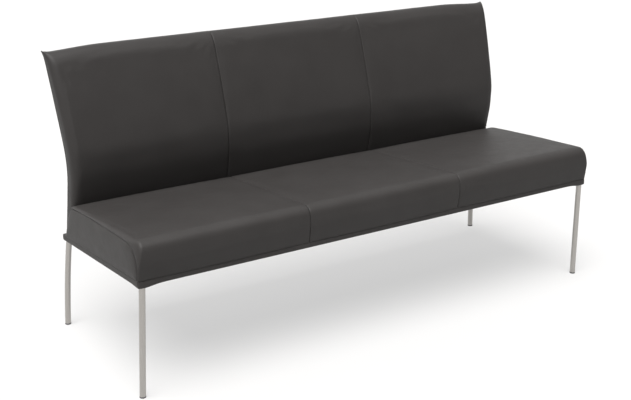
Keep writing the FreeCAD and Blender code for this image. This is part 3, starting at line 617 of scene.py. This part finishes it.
def outline_place(k, x, depth):
    """World point of the seat's outline at a distance from the bench's middle, moved in by a depth."""
    point = SEAT_PATH[k]
    normal = SEAT_NORMALS[k]
    return place(x, point.x + normal.x * depth, point.y + normal.y * depth)


def seat_row(x, inset):
    """The seat's whole outline, moved in by an inset."""
    return [outline_place(k, x, seat_inset(k, inset)) for k in range(len(SEAT_PATH))]


def held_on_seat(x, v, w):
    return v > rake_v(w) - SEAT_HELD_BAND


def seat_middle():
    rows = []
    for x in seam_spaced(SEAT_SEAM_SHIFT - SEAM_X, SEAT_SEAM_SHIFT + SEAM_X, SEAT_MIDDLE_COLUMNS):
        rows.append(seat_row(x, middle_inset(x - SEAT_SEAM_SHIFT)))
    inside = place(0.0, SEAT_DEPTH / 2, SEAT_HEIGHT / 2)
    replaced = ["seat_cover_middle", "seat_foam"]
    return leather_panel("seat_panel_middle", drawn_sheet(rows), inside, held_on_seat, replaced)


# Share of the roll over an end, and of the drop into the seam there
EDGE_ROLL = [(k / 10, 0.0) for k in range(1, 8)]
EDGE_ROLL += [(0.79, 0.0), (0.86, 0.02), (0.92, 0.08), (0.965, 0.3), (1.0, 1.0)]


def flat_row(side, seam, flat, reach):
    """Line over the flat part of an outer top panel, at a reach from its seam with the middle one."""
    along = reach / flat
    inset = outer_inset(reach, along)
    row = []
    for k in range(len(SEAT_PATH)):
        x = seam + reach + along ** END_BLEND_POWER * (roll_x(k, 0.0) - seam - flat)
        depth = seat_inset(k, inset) + pucker(SEAT_RUN[k], END_SEAM_X - x)
        row.append(outline_place(k, side * x, depth))
    return row


def rolled_row(side, share, drawn_in):
    """Line over the roll of an outer top panel onto its end."""
    row = []
    for k in range(len(SEAT_PATH)):
        gather = pucker(SEAT_RUN[k], END_SEAM_X - roll_x(k, share))
        x, v, w = end_point(k, share, EDGE_SEAM_DEPTH * drawn_in, gather)
        row.append(place(side * x, v, w))
    return row


def seat_outer(side, word):
    """Outer top panel, from its seam with the middle one to where it rolls over the end."""
    seam = SEAM_X + side * SEAT_SEAM_SHIFT
    flat = END_SEAM_X - END_ROLL_FRONT - seam
    reaches = seam_spaced(0.0, flat, SEAT_OUTER_COLUMNS, False)
    rows = [flat_row(side, seam, flat, reach) for reach in reaches]
    rows += [rolled_row(side, share, drawn_in) for share, drawn_in in EDGE_ROLL]
    inside = place(side * OUTER_MIDDLE_X, SEAT_DEPTH / 2, SEAT_HEIGHT / 2)
    bm = drawn_sheet(rows)
    return leather_panel("seat_panel_" + word, bm, inside, held_on_seat, ["seat_cover_" + word])


def wing_rear(w):
    """Depth of the rear edge of an end panel, which reaches back beside the foot of the back."""
    return rake_v(w) + WING_DEPTH * (SEAT_HEIGHT - w) / (SEAT_HEIGHT - HEM_HEIGHT)


def end_edges(columns, rows):
    """Front, top, rear and foot edges of an end panel at the shares of its grid, and its seam."""
    last = REAR_CORNER + 1
    seam = [end_point(k, 1.0, EDGE_SEAM_DEPTH, pucker(SEAT_RUN[k], 0.0)) for k in range(last)]
    low_rear = Vector((HEM_HALF - END_REAR_INSET, wing_rear(PANEL_FOOT), PANEL_FOOT))
    full_v = wing_rear(END_REAR_FULL_HEIGHT) + END_REAR_FULLNESS
    full_rear = Vector((HEM_HALF - END_REAR_FULL_INSET, full_v, END_REAR_FULL_HEIGHT))
    front = resampled(seam[:FRONT_CORNER + 1], rows)
    top = resampled(seam[FRONT_CORNER:], columns)
    rear = resampled([low_rear, full_rear, seam[-1]], rows)
    foot = resampled([seam[0], low_rear], columns)
    return front, top, rear, foot, seam


def domed_x(x, edge):
    """The end's distance from the bench's middle, domed out by the distance from its edge."""
    rise = 1 - 0.5 * math.exp(-edge / END_DOME_EDGE) - 0.5 * math.exp(-edge / END_DOME_EASE)
    return x + (SEAT_LENGTH / 2 - x) * rise


def end_panel(side, word):
    """End panel: a grid stretched between its four edges, domed, and turned in behind."""
    columns = [at / END_LENGTH for at in seam_spaced(0.0, END_LENGTH, END_COLUMNS - SEAM_EXTRA)]
    rows = [at / END_HEIGHT for at in seam_spaced(0.0, END_HEIGHT, END_ROWS - SEAM_EXTRA)]
    front, top, rear, foot, seam = end_edges(columns, rows)
    border = [point.yz for point in resampled(seam, even(BORDER_POINTS))]
    all_columns = END_COLUMNS + END_TURNED_COLUMNS
    bm = bmesh.new()
    bmesh.ops.create_grid(bm, x_segments=all_columns, y_segments=END_ROWS, size=0.5)
    for vert in bm.verts:
        column = round((vert.co.x + 0.5) * all_columns)
        row = round((vert.co.y + 0.5) * END_ROWS)
        inward = max(0, column - END_COLUMNS)
        column = min(column, END_COLUMNS)
        along = columns[column]
        up = rows[row]
        ruled = foot[column].lerp(top[column], up) + front[row].lerp(rear[row], along)
        corners = foot[0].lerp(foot[-1], along).lerp(top[0].lerp(top[-1], along), up)
        x, v, w = ruled - corners
        from_seam = min((Vector((v, w)) - spot).length for spot in border)
        edge = min(from_seam, (1 - along) * END_REAR_REACH, up * END_HEIGHT + END_FOOT_REACH)
        x = domed_x(x, edge) - END_TURNED_STEP * inward
        v += END_TURNED_FULLNESS * math.sin(math.pi * inward / END_TURNED_COLUMNS) * (1 - up)
        vert.co = place(side * x, v, w)
    inside = place(0.0, SEAT_DEPTH / 2, SEAT_HEIGHT / 2)
    replaced = ["seat_end_panel_" + word, "seat_wing_" + word]
    return leather_panel("end_panel_" + word, bm, inside, held_nowhere, replaced)


# Hem

def hem_outline():
    """Outline of the base in plan, as x and V, starting at the middle of its front."""
    corners = [
        (0.0, 0.0, 0.0),
        (HEM_HALF, 0.0, HEM_CORNER_RADIUS),
        (HEM_HALF, BASE_DEPTH, HEM_CORNER_RADIUS),
        (-HEM_HALF, BASE_DEPTH, HEM_CORNER_RADIUS),
        (-HEM_HALF, 0.0, HEM_CORNER_RADIUS),
        (0.0, 0.0, 0.0),
    ]
    return rounded_path(corners, HEM_STEP)[:-1]


def hem_point(point, inset, w):
    """World point of the hem's profile at a point of the outline."""
    x = max(-HEM_HALF + inset, min(HEM_HALF - inset, point.x))
    v = max(inset, min(BASE_DEPTH - inset, point.y))
    if inset < 0:
        x = point.x * (1 - inset / HEM_HALF)
        v = point.y + (inset if point.y < BASE_DEPTH / 2 else -inset)
    from_leg = (Vector((abs(point.x), point.y)) - Vector((HEM_HALF - HEM_DROOP_PLACE, 0.0))).length
    low = HEM_DROOP * math.exp(-(from_leg / HEM_DROOP_LENGTH) ** 2) * max(0.0, 1 - w / HEM_HEIGHT)
    wave = HEM_WAVE * noise.noise(Vector((point.x / HEM_WAVE_LENGTH, point.y / HEM_WAVE_LENGTH, 0.0)))
    return place(x, v, w - low + wave * (1 - abs(w - HEM_HEIGHT / 2) / (HEM_HEIGHT / 2)))


def hem():
    """Leather band turned round the edge of the base, hanging lower at the front corners."""
    outline = hem_outline()
    rows = [[hem_point(point, inset, w) for point in outline] for inset, w in HEM_PROFILE]
    bm = drawn_sheet(rows, closed=True)
    face_away(bm, place(0.0, BASE_DEPTH / 2, HEM_HEIGHT / 2))
    piece = new_piece("hem_band", bm)
    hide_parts("hem_front", "hem_rear", "hem_left", "hem_right")
    smooth_thick(piece, LEATHER)
    return piece


# Back

def lumbar_curve(w, vertex_v, rake, lean, radius):
    """Depth at a height of a line that leans forward, bends at the lumbar height and leans back."""
    reach = radius * math.tan((rake + lean) / 2)
    low = LUMBAR_HEIGHT - reach * math.cos(rake)
    high = LUMBAR_HEIGHT + reach * math.cos(lean)
    if w <= low:
        return vertex_v + (LUMBAR_HEIGHT - w) * math.tan(rake)
    if w >= high:
        return vertex_v + (w - LUMBAR_HEIGHT) * math.tan(lean)
    centre_v = vertex_v + reach * math.sin(rake) + radius * math.cos(rake)
    centre_w = low + radius * math.sin(rake)
    return centre_v - math.sqrt(radius ** 2 - (w - centre_w) ** 2)


def back_front_v(w):
    """Depth of the front leather of the back at a height, with its crown."""
    share = max(0.0, (w - LUMBAR_HEIGHT) / (BACK_HEIGHT - LUMBAR_HEIGHT))
    return lumbar_curve(w, LUMBAR_V, RAKE, LEAN, LUMBAR_RADIUS) - BACK_CROWN * 4 * share * (1 - share)


def back_rear_v(w):
    return lumbar_curve(w, REAR_LUMBAR_V, REAR_RAKE, REAR_LEAN, REAR_LUMBAR_RADIUS)


def back_half(w):
    """Half width of the back: drawn in at the waist, wider at the foot and widest at the top."""
    if w > BACK_WAIST_HEIGHT:
        share = (w - BACK_WAIST_HEIGHT) / (BACK_HEIGHT - BACK_WAIST_HEIGHT)
        flare = BACK_WAIST_INSET + BACK_TOP_OUTSET
    else:
        share = (BACK_WAIST_HEIGHT - w) / (BACK_WAIST_HEIGHT - HEM_HEIGHT)
        flare = BACK_WAIST_INSET - BACK_FOOT_INSET
    fullness = BACK_FULLNESS * smooth_step((w - HEM_HEIGHT) / (BACK_WAIST_HEIGHT - HEM_HEIGHT))
    return SEAT_LENGTH / 2 - BACK_WAIST_INSET + flare * share ** BACK_FLARE_POWER + fullness


def back_place(x, v, w):
    """World point on the back, with its falling top edge and its pointed top rear corners."""
    half = back_half(min(w, BACK_HEIGHT))
    near_end = smooth_step((abs(x) - half + TOP_DIP_LENGTH) / TOP_DIP_LENGTH)
    near_top = smooth_step((w - BACK_HEIGHT + TOP_FADE) / TOP_FADE)
    w += (TOP_RISE - TOP_DIP * near_end) * near_top
    corner = Vector((half, back_rear_v(BACK_HEIGHT) - REAR_SEAM_INSET, BACK_HEIGHT + TOP_RISE - TOP_DIP))
    away = (Vector((abs(x), v, w)) - corner).length / EAR_SPREAD
    ear = EAR_LENGTH * math.exp(-0.5 * away ** 2)
    out, back, up = EAR_WAY
    return place(x + math.copysign(out * ear, x), v + back * ear, w + up * ear)


# Share of the way across an end or the top of the back, and of the drop into the rear seam
SIDE_STEPS = ((0.25, 0.0), (0.5, 0.0), (0.72, 0.03), (0.88, 0.12), (0.96, 0.4), (1.0, 1.0))


def back_seam(side):
    """Distance of a seam of the back from the bench's middle."""
    return SEAM_X + side * BACK_SEAM_SHIFT


def end_seam_depth(w):
    """Depth of the rear seam down an end of the back."""
    share = smooth_step((w - HEM_HEIGHT) / BACK_SEAM_FADE)
    return BACK_SEAM_DEPTH * (BACK_SEAM_FOOT + (1 - BACK_SEAM_FOOT) * share)


def middle_row(front):
    """Plan line of the middle front panel from seam to seam, as x and V."""
    places = seam_spaced(-back_seam(-1), back_seam(1), BACK_MIDDLE_COLUMNS)
    return [(x, front + middle_inset(x - BACK_SEAM_SHIFT)) for x in places]


def outer_row(w, front, side):
    """Plan line of an outer front panel at a height: from its seam round the end to the rear seam."""
    half = back_half(w)
    seam = back_seam(side)
    depth = back_rear_v(w) - REAR_SEAM_INSET - front
    padding = back_rear_v(w) - back_front_v(w) - BACK_SHELL_FRONT
    corner = min(BACK_CORNER_RADIUS, CORNER_IN_PADDING * padding, CORNER_IN_DEPTH * depth)
    reach = END_ROLL_STRETCH * corner
    row = []
    for x in seam_spaced(seam, half - reach, BACK_OUTER_COLUMNS, False):
        row.append((side * x, front + outer_inset(x - seam, (x - seam) / (half - seam))))
    for k in range(1, END_ROLL_STEPS + 1):
        angle = math.pi / 2 * k / END_ROLL_STEPS
        row.append((side * (half - reach + reach * math.sin(angle)), front + corner * (1 - math.cos(angle))))
    for share, drawn_in in SIDE_STEPS:
        x = half - end_seam_depth(w) * drawn_in
        row.append((side * x, front + corner + (depth - corner) * share))
    return row


def back_row(w, shift, side):
    """Plan line of a front panel at a height, moved back by a shift."""
    front = back_front_v(w) + shift
    return outer_row(w, front, side) if side else middle_row(front)


def back_front(side, word):
    """Front panel of the back: up the front, over the rolled top edge and down to the rear seam."""
    rows = []
    top = BACK_HEIGHT - TOP_ROLL_HEIGHT
    for share in even(BACK_ROWS):
        w = HEM_HEIGHT + (top - HEM_HEIGHT) * share
        rows.append([back_place(x, v, w) for x, v in back_row(w, 0.0, side)])
    for share in even(TOP_ROLL_STEPS)[1:]:
        angle = math.pi / 2 * share
        w = top + TOP_ROLL_HEIGHT * math.sin(angle)
        row = back_row(w, BACK_TOP_RADIUS * (1 - math.cos(angle)), side)
        rows.append([back_place(x, v, w) for x, v in row])
    rear = back_rear_v(BACK_HEIGHT) - REAR_SEAM_INSET
    for share, drawn_in in SIDE_STEPS:
        w = BACK_HEIGHT - BACK_SEAM_DEPTH * drawn_in
        rows.append([back_place(x, v + (rear - v) * share, w) for x, v in row])
    inside = place(side * OUTER_MIDDLE_X, back_rear_v(INSIDE_FACE_HEIGHT), INSIDE_HEIGHT)
    bm = drawn_sheet(rows)
    replaced = ["back_cover_" + word] + ["back_front_foam"] * (side == 0)
    return leather_panel("back_panel_" + word, bm, inside, held_on_back, replaced)


def held_on_back(x, v, w):
    return w < SEAT_HEIGHT + BACK_HELD_HEIGHT


def rear_edge(depth):
    """Inset from the edge and way forward of the rear leather as it rolls over an edge into a seam."""
    steps = []
    for turn in REAR_EDGE_TURNS:
        angle = math.radians(turn)
        steps.append((REAR_EDGE_ROLL * (1 - math.sin(angle)), REAR_EDGE_ROLL * (1 - math.cos(angle))))
    steps += [(share * depth, REAR_SEAM_INSET - left) for share, left in REAR_EDGE_DROP]
    return steps


def rear_row(w, forward_top, side):
    """Line across a rear panel at a height: from seam to seam, or from a seam over an outer end."""
    half = back_half(w)
    start = back_seam(side) if side else -back_seam(-1)
    end = half - REAR_EDGE_ROLL if side else back_seam(1)
    columns = [(x, 0.0) for x in seam_spaced(start, end, BACK_REAR_COLUMNS, side == 0)]
    if side:
        columns += [(half - inset, forward) for inset, forward in rear_edge(end_seam_depth(w))]
    row = []
    for x, forward_end in columns:
        edge = x - start if side else min(x - start, end - x)
        hollow = BACK_SEAM_DEPTH * math.exp(-edge / REAR_SEAM_EASE)
        drawn_in = hollow - REAR_CROWN * (1 - math.exp(-edge / REAR_CROWN_EASE))
        forward = max(forward_top, forward_end, drawn_in if forward_top + forward_end == 0 else 0.0)
        row.append(back_place((side or 1) * x, back_rear_v(w) - forward, w))
    return row


def back_rear(side, word):
    """Rear panel of the back, rolled over the top and over an outer end."""
    top = BACK_HEIGHT - REAR_EDGE_ROLL
    levels = [(HEM_HEIGHT + (top - HEM_HEIGHT) * share, 0.0) for share in even(BACK_ROWS)]
    levels += [(BACK_HEIGHT - inset, forward) for inset, forward in rear_edge(BACK_SEAM_DEPTH)]
    bm = drawn_sheet([rear_row(w, forward, side) for w, forward in levels])
    inside = place(side * OUTER_MIDDLE_X, back_front_v(INSIDE_FACE_HEIGHT), INSIDE_HEIGHT)
    replaced = ["back_rear_cover_" + word] + ["back_rear_foam"] * (side == 0)
    return leather_panel("back_rear_panel_" + word, bm, inside, held_nowhere, replaced)


# Stitches

def laid_on(path, pieces):
    """The path moved onto the finished leather, with the thread partly sunk into it."""
    skins = []
    for piece in pieces:
        corners = [vert.co for vert in piece.data.vertices]
        skins.append(BVHTree.FromPolygons(corners, [face.vertices for face in piece.data.polygons]))
    laid = []
    for point in path:
        hits = [skin.find_nearest(point) for skin in skins]
        spot, normal, face, distance = min(hits, key=lambda hit: hit[3])
        laid.append(spot + normal * THREAD_RISE * MM)
    return laid


def stitch_row(name, path, pieces):
    """Row of short thread stitches along a seam, lying on leather pieces."""
    bm = bmesh.new()
    count = max(2, round(path_run(path)[-1] / (STITCH_PITCH * MM)))
    marks = laid_on(resampled(path, even(count)), pieces)
    size = Matrix.Diagonal((THREAD_RADIUS * MM, THREAD_RADIUS * MM, STITCH_LENGTH / 2 * MM, 1.0))
    for start, end in zip(marks, marks[1:]):
        turn = (end - start).to_track_quat("Z", "Y").to_matrix().to_4x4()
        spot = Matrix.Translation((start + end) / 2) @ turn @ size
        bmesh.ops.create_uvsphere(bm, u_segments=6, v_segments=4, radius=1.0, matrix=spot)
    return new_piece(name, bm)


def seat_end_stitches(side, word, pieces):
    """Stitches on the roll over an end of the seat, from the hem to the back."""
    path = []
    for k, point in enumerate(SEAT_PATH):
        if point.x < rake_v(point.y) - STITCH_STOP:
            x, v, w = end_point(k, STITCH_SHARE, 0.0)
            path.append(place(side * x, v, w))
    return stitch_row("end_stitches_" + word, path, pieces)


def back_edge_stitches(side, word, pieces):
    """Stitches up an end of the back, beside its rear seam."""
    path = []
    for k in range(STITCH_POINTS):
        share = k / (STITCH_POINTS - 1)
        w = SEAT_HEIGHT + (BACK_HEIGHT - STITCH_CORNER - SEAT_HEIGHT) * share
        v = back_rear_v(w) - REAR_SEAM_INSET - STITCH_INSET
        path.append(back_place(side * (back_half(w) + STITCH_REACH), v, w))
    return stitch_row("back_end_stitches_" + word, path, pieces)


def back_top_stitches(pieces):
    """Stitches along the top of the back, beside its rear seam."""
    path = []
    half = back_half(BACK_HEIGHT) - STITCH_CORNER
    v = back_rear_v(BACK_HEIGHT) - REAR_SEAM_INSET - STITCH_INSET
    for k in range(2 * STITCH_POINTS + 1):
        path.append(back_place(half * (k / STITCH_POINTS - 1), v, BACK_HEIGHT + STITCH_REACH))
    return stitch_row("back_top_stitches", path, pieces)


panels = [seat_middle()]
for side, word in SIDES:
    panels.append(seat_outer(side, word))
    panels.append(end_panel(side, word))
for side, word in ((-1, "left"), (0, "middle"), (1, "right")):
    panels.append(back_front(side, word))
    panels.append(back_rear(side, word))
swell(panels)
for panel in panels:
    ripple(panel)
    smooth_thick(panel, LEATHER)
hem_band = hem()


# Materials

def linear(code):
    """Linear colour of an sRGB hex code."""
    parts = [int(code[k:k + 2], 16) / 255 for k in (1, 3, 5)]
    return [c / 12.92 if c <= 0.04045 else ((c + 0.055) / 1.055) ** 2.4 for c in parts] + [1.0]


def new_material(name, inputs):
    """Material with its node tree and its shader, whose inputs are set."""
    material = bpy.data.materials.new(name)
    material.use_nodes = True
    tree = material.node_tree
    shader = tree.nodes["Principled BSDF"]
    for socket, value in inputs.items():
        shader.inputs[socket].default_value = value
    return material, tree, shader


def add_node(tree, kind, inputs=None, **settings):
    """Adds a node, sets its options, and sets or links its inputs."""
    node = tree.nodes.new(kind)
    for option, value in settings.items():
        setattr(node, option, value)
    for socket, value in (inputs or {}).items():
        if isinstance(value, bpy.types.NodeSocket):
            tree.links.new(value, node.inputs[socket])
        else:
            node.inputs[socket].default_value = value
    return node


def object_place(tree, stretch=(1.0, 1.0, 1.0)):
    """Object coordinates times a stretch per axis."""
    coords = add_node(tree, "ShaderNodeTexCoord")
    node = add_node(tree, "ShaderNodeMapping", {"Vector": coords.outputs["Object"], "Scale": stretch})
    return node.outputs["Vector"]


def finish(tree, shader, pattern, colours=None, rough=None, relief=None):
    """Lets a pattern drive two hex colours, two roughness values, or a relief of a strength and mm."""
    if colours:
        ends = {0: pattern, 6: linear(colours[0]), 7: linear(colours[1])}
        mix = add_node(tree, "ShaderNodeMix", ends, data_type="RGBA")
        tree.links.new(mix.outputs[2], shader.inputs["Base Color"])
    if rough:
        limits = {"Value": pattern, "To Min": rough[0], "To Max": rough[1]}
        ranged = add_node(tree, "ShaderNodeMapRange", limits)
        tree.links.new(ranged.outputs["Result"], shader.inputs["Roughness"])
    if relief:
        heights = {"Height": pattern, "Strength": relief[0], "Distance": relief[1] * MM}
        bump = add_node(tree, "ShaderNodeBump", heights)
        tree.links.new(bump.outputs["Normal"], shader.inputs["Normal"])


def leather():
    """Anthracite leather: a soft dull sheen, faint cloudy dye and a fine pebbled grain."""
    material, tree, shader = new_material("anthracite_leather", {"Specular IOR Level": 0.2})
    spot = object_place(tree)
    # Clouds of dye about 110 mm wide and patches of gloss about 33 mm wide.
    cloud = add_node(tree, "ShaderNodeTexNoise", {"Vector": spot, "Scale": 9.0, "Detail": 5.0})
    finish(tree, shader, cloud.outputs["Fac"], colours=("#2c2a29", "#343231"))
    gloss = add_node(tree, "ShaderNodeTexNoise", {"Vector": spot, "Scale": 30.0, "Detail": 4.0})
    finish(tree, shader, gloss.outputs["Fac"], rough=(0.46, 0.6))
    # Grain cells of about 1 mm, drawn at 1.8 mm so that they hold at this picture size, and 12 mm creases.
    pebbles = add_node(tree, "ShaderNodeTexVoronoi",
                       {"Vector": spot, "Scale": 1 / 0.0018, "Smoothness": 0.6}, feature="SMOOTH_F1")
    creases = add_node(tree, "ShaderNodeTexNoise", {"Vector": spot, "Scale": 1 / 0.012, "Detail": 6.0})
    heights = {0: creases.outputs["Fac"], 1: 1.2, 2: pebbles.outputs["Distance"]}
    height = add_node(tree, "ShaderNodeMath", heights, operation="MULTIPLY_ADD")
    finish(tree, shader, height.outputs["Value"], relief=(0.35, 0.5))
    return material


def patterned(name, scale, detail, colours, rough=None, relief=None, stretch=(1.0, 1.0, 1.0), **inputs):
    """Material whose colour, gloss and relief follow one noise pattern, scaled in cells to the metre."""
    material, tree, shader = new_material(name, inputs)
    noise_inputs = {"Vector": object_place(tree, stretch), "Scale": scale, "Detail": detail}
    pattern = add_node(tree, "ShaderNodeTexNoise", noise_inputs)
    finish(tree, shader, pattern.outputs["Fac"], colours, rough, relief)
    return material


def thread():
    """Dark spun polyester thread: a small satin glint on each stitch, broken by its twist."""
    # Twist of about 0.3 mm, drawn at 0.9 mm so that it shows on the stitches.
    return patterned("spun_polyester_thread", 1 / 0.0009, 2.0, ("#2b2929", "#454242"), (0.4, 0.6), (0.4, 0.1))


def brushed_steel():
    """Ground stainless tube: bright, with fine lines that run down the leg."""
    # Grinding lines of about 0.1 mm, drawn at 0.7 mm so that they show.
    down_leg = (1.0, 1.0, 0.012)
    return patterned("ground_stainless_steel", 1400.0, 2.0, ("#9a9793", "#b8b5b1"), (0.24, 0.4), (0.15, 0.05),
                     down_leg, Metallic=1.0)


def plain_metal(name, colours, rough):
    """Plate or fastener metal: a tone in clouds of about 8 mm and an uneven gloss."""
    return patterned(name, 120.0, 4.0, colours, rough, Metallic=1.0)


def moulded_plastic():
    """Dark grey moulded glide: slightly matt, with specks of about 1 mm."""
    return patterned("moulded_polyamide", 900.0, 2.0, ("#3d3c3c", "#474646"), Roughness=0.5)


def wood(name, colours, narrow):
    """Planed wood: streaks about 17 mm long, so many times narrower, and a dry gloss."""
    return patterned(name, 60.0, 6.0, colours, (0.5, 0.7), (0.2, 0.2), (1.0, narrow, narrow))


def woven_cloth(name, colours, pitch, rough):
    """Plain weave or spun cloth: small raised threads both ways, a pitch in mm apart."""
    material, tree, shader = new_material(name, {"Roughness": rough})
    # A wave pattern of scale 1 has 20 radians to the metre.
    waves = {"Vector": object_place(tree), "Scale": 2 * math.pi / (pitch * MM) / 20}
    across = add_node(tree, "ShaderNodeTexWave", waves, bands_direction="X")
    along = add_node(tree, "ShaderNodeTexWave", waves, bands_direction="Y")
    threads = {0: across.outputs["Fac"], 1: along.outputs["Fac"]}
    weave = add_node(tree, "ShaderNodeMath", threads, operation="MULTIPLY")
    finish(tree, shader, weave.outputs["Value"], colours, relief=(0.5, 0.3))
    return material


def cut_foam():
    """Pale cut foam: open cells of about 1.5 mm that only just show."""
    material, tree, shader = new_material("polyurethane_foam", {"Roughness": 0.95})
    cells = add_node(tree, "ShaderNodeTexVoronoi", {"Vector": object_place(tree), "Scale": 1 / 0.0015})
    finish(tree, shader, cells.outputs["Distance"], ("#cbbf96", "#e6dcb8"), relief=(0.6, 0.5))
    return material


def dress(piece, material):
    piece.data.materials.clear()
    piece.data.materials.append(material)


def dress_nodes(material, *starts):
    """Gives a material to the construction's pieces whose names start so."""
    for name, piece in NODES.items():
        if name.startswith(starts):
            dress(piece, material)


LEATHER_SKIN = leather()
THREAD = thread()
for panel in panels + [hem_band]:
    dress(panel, LEATHER_SKIN)
for side, word in SIDES:
    dress(seat_end_stitches(side, word, panels), THREAD)
    dress(back_edge_stitches(side, word, panels), THREAD)
dress(back_top_stitches(panels), THREAD)
dress_nodes(LEATHER_SKIN, "hem", "seat_cover", "seat_end", "seat_wing", "back_cover", "back_rear_cover")
dress_nodes(cut_foam(), "seat_foam", "back_front_foam", "back_rear_foam")
dress_nodes(wood("birch_plywood", ("#b99767", "#d8bd91"), 12.0), "base_board", "back_shell")
dress_nodes(wood("planed_beech", ("#b58359", "#cfa378"), 14.0), "seat_front_rail", "seat_rear_rail",
            "seat_left_rail", "seat_right_rail", "seat_cross", "corner_block", "back_bottom")
dress_nodes(woven_cloth("woven_elastic_webbing", ("#1f1c1a", "#3b3632"), 2.0, 0.9), "seat_webbing")
dress_nodes(woven_cloth("spun_dust_cloth", ("#151515", "#2a2a2a"), 2.5, 0.95), "dust_cover")
dress_nodes(brushed_steel(), "leg_front", "leg_rear")
dress_nodes(plain_metal("rolled_plate_steel", ("#6f6d6b", "#8d8b88"), (0.34, 0.5)), "leg_plate")
dress_nodes(plain_metal("zinc_plated_steel", ("#a3a6a8", "#c9ccce"), (0.22, 0.38)), "leg_screws",
            "leg_tee", "back_bolts", "back_washers", "back_tee", "foot_", "box_screws")
dress_nodes(moulded_plastic(), "glide")


# Stage

def stage_piece(name, bm, material):
    """Piece of the studio, not of the bench."""
    piece = linked(name, bm)
    dress(piece, material)
    return piece


def floor():
    """Pale seamless floor, lit from within like a light table so that the shadow stays faint."""
    glow = {"Emission Color": linear("#ffffff"), "Emission Strength": FLOOR_GLOW}
    inputs = {"Base Color": linear("#7e7d7c"), "Roughness": 0.9, **glow}
    material, tree, shader = new_material("pale_floor", inputs)
    bm = bmesh.new()
    bmesh.ops.create_grid(bm, x_segments=1, y_segments=1, size=FLOOR_HALF)
    stage_piece("floor", bm, material)


def backdrop():
    """White surround behind the floor's edge; it gives no light and no shadow."""
    glow = {"Emission Color": linear("#ffffff"), "Emission Strength": 1.0}
    material, tree, shader = new_material("white_backdrop", {"Base Color": linear("#000000"), **glow})
    bm = bmesh.new()
    bmesh.ops.create_uvsphere(bm, u_segments=48, v_segments=24, radius=BACKDROP_RADIUS)
    dome = stage_piece("backdrop", bm, material)
    dome.visible_diffuse = False
    dome.visible_glossy = False
    dome.visible_shadow = False


def overhead_lamp():
    """Broad soft light from above the front left."""
    lamp = bpy.data.lights.new("overhead", "SUN")
    lamp.energy = LAMP_ENERGY
    lamp.angle = LAMP_ANGLE
    holder = bpy.data.objects.new("overhead", lamp)
    holder.location = LAMP_PLACE
    holder.rotation_euler = (-Vector(LAMP_PLACE)).to_track_quat("-Z", "Y").to_euler()
    holder.visible_camera = False
    bpy.context.scene.collection.objects.link(holder)


def surround_light():
    """Dim white surround, brighter above and brightest behind."""
    world = bpy.data.worlds.new("studio")
    world.use_nodes = True
    tree = world.node_tree
    surround = tree.nodes["Background"]
    surround.inputs["Color"].default_value = linear("#ffffff")
    toward = add_node(tree, "ShaderNodeTexCoord")
    split = add_node(tree, "ShaderNodeSeparateXYZ", {"Vector": toward.outputs["Generated"]})
    low, high = SURROUND_ABOVE
    upward = {"Value": split.outputs["Z"], "From Min": SURROUND_EDGE, "To Min": low, "To Max": high}
    above = add_node(tree, "ShaderNodeMapRange", upward)
    low, high = SURROUND_BEHIND
    rearward = {"Value": split.outputs["Y"], "To Min": low, "To Max": high}
    behind = add_node(tree, "ShaderNodeMapRange", rearward)
    parts = {0: above.outputs["Result"], 1: behind.outputs["Result"]}
    strength = add_node(tree, "ShaderNodeMath", parts, operation="ADD")
    tree.links.new(strength.outputs["Value"], surround.inputs["Strength"])
    bpy.context.scene.world = world


def photo_camera():
    lens = bpy.data.cameras.new("photo_camera")
    lens.lens = CAMERA_LENS
    lens.sensor_width = CAMERA_SENSOR
    lens.clip_end = FAR_LIMIT
    camera = bpy.data.objects.new("photo_camera", lens)
    camera.location = CAMERA_PLACE
    camera.rotation_euler = (math.radians(90.0 - CAMERA_PITCH), 0.0, math.radians(-CAMERA_YAW))
    bpy.context.scene.collection.objects.link(camera)
    bpy.context.scene.camera = camera


floor()
backdrop()
overhead_lamp()
surround_light()
photo_camera()
bpy.context.scene.view_settings.view_transform = "Standard"
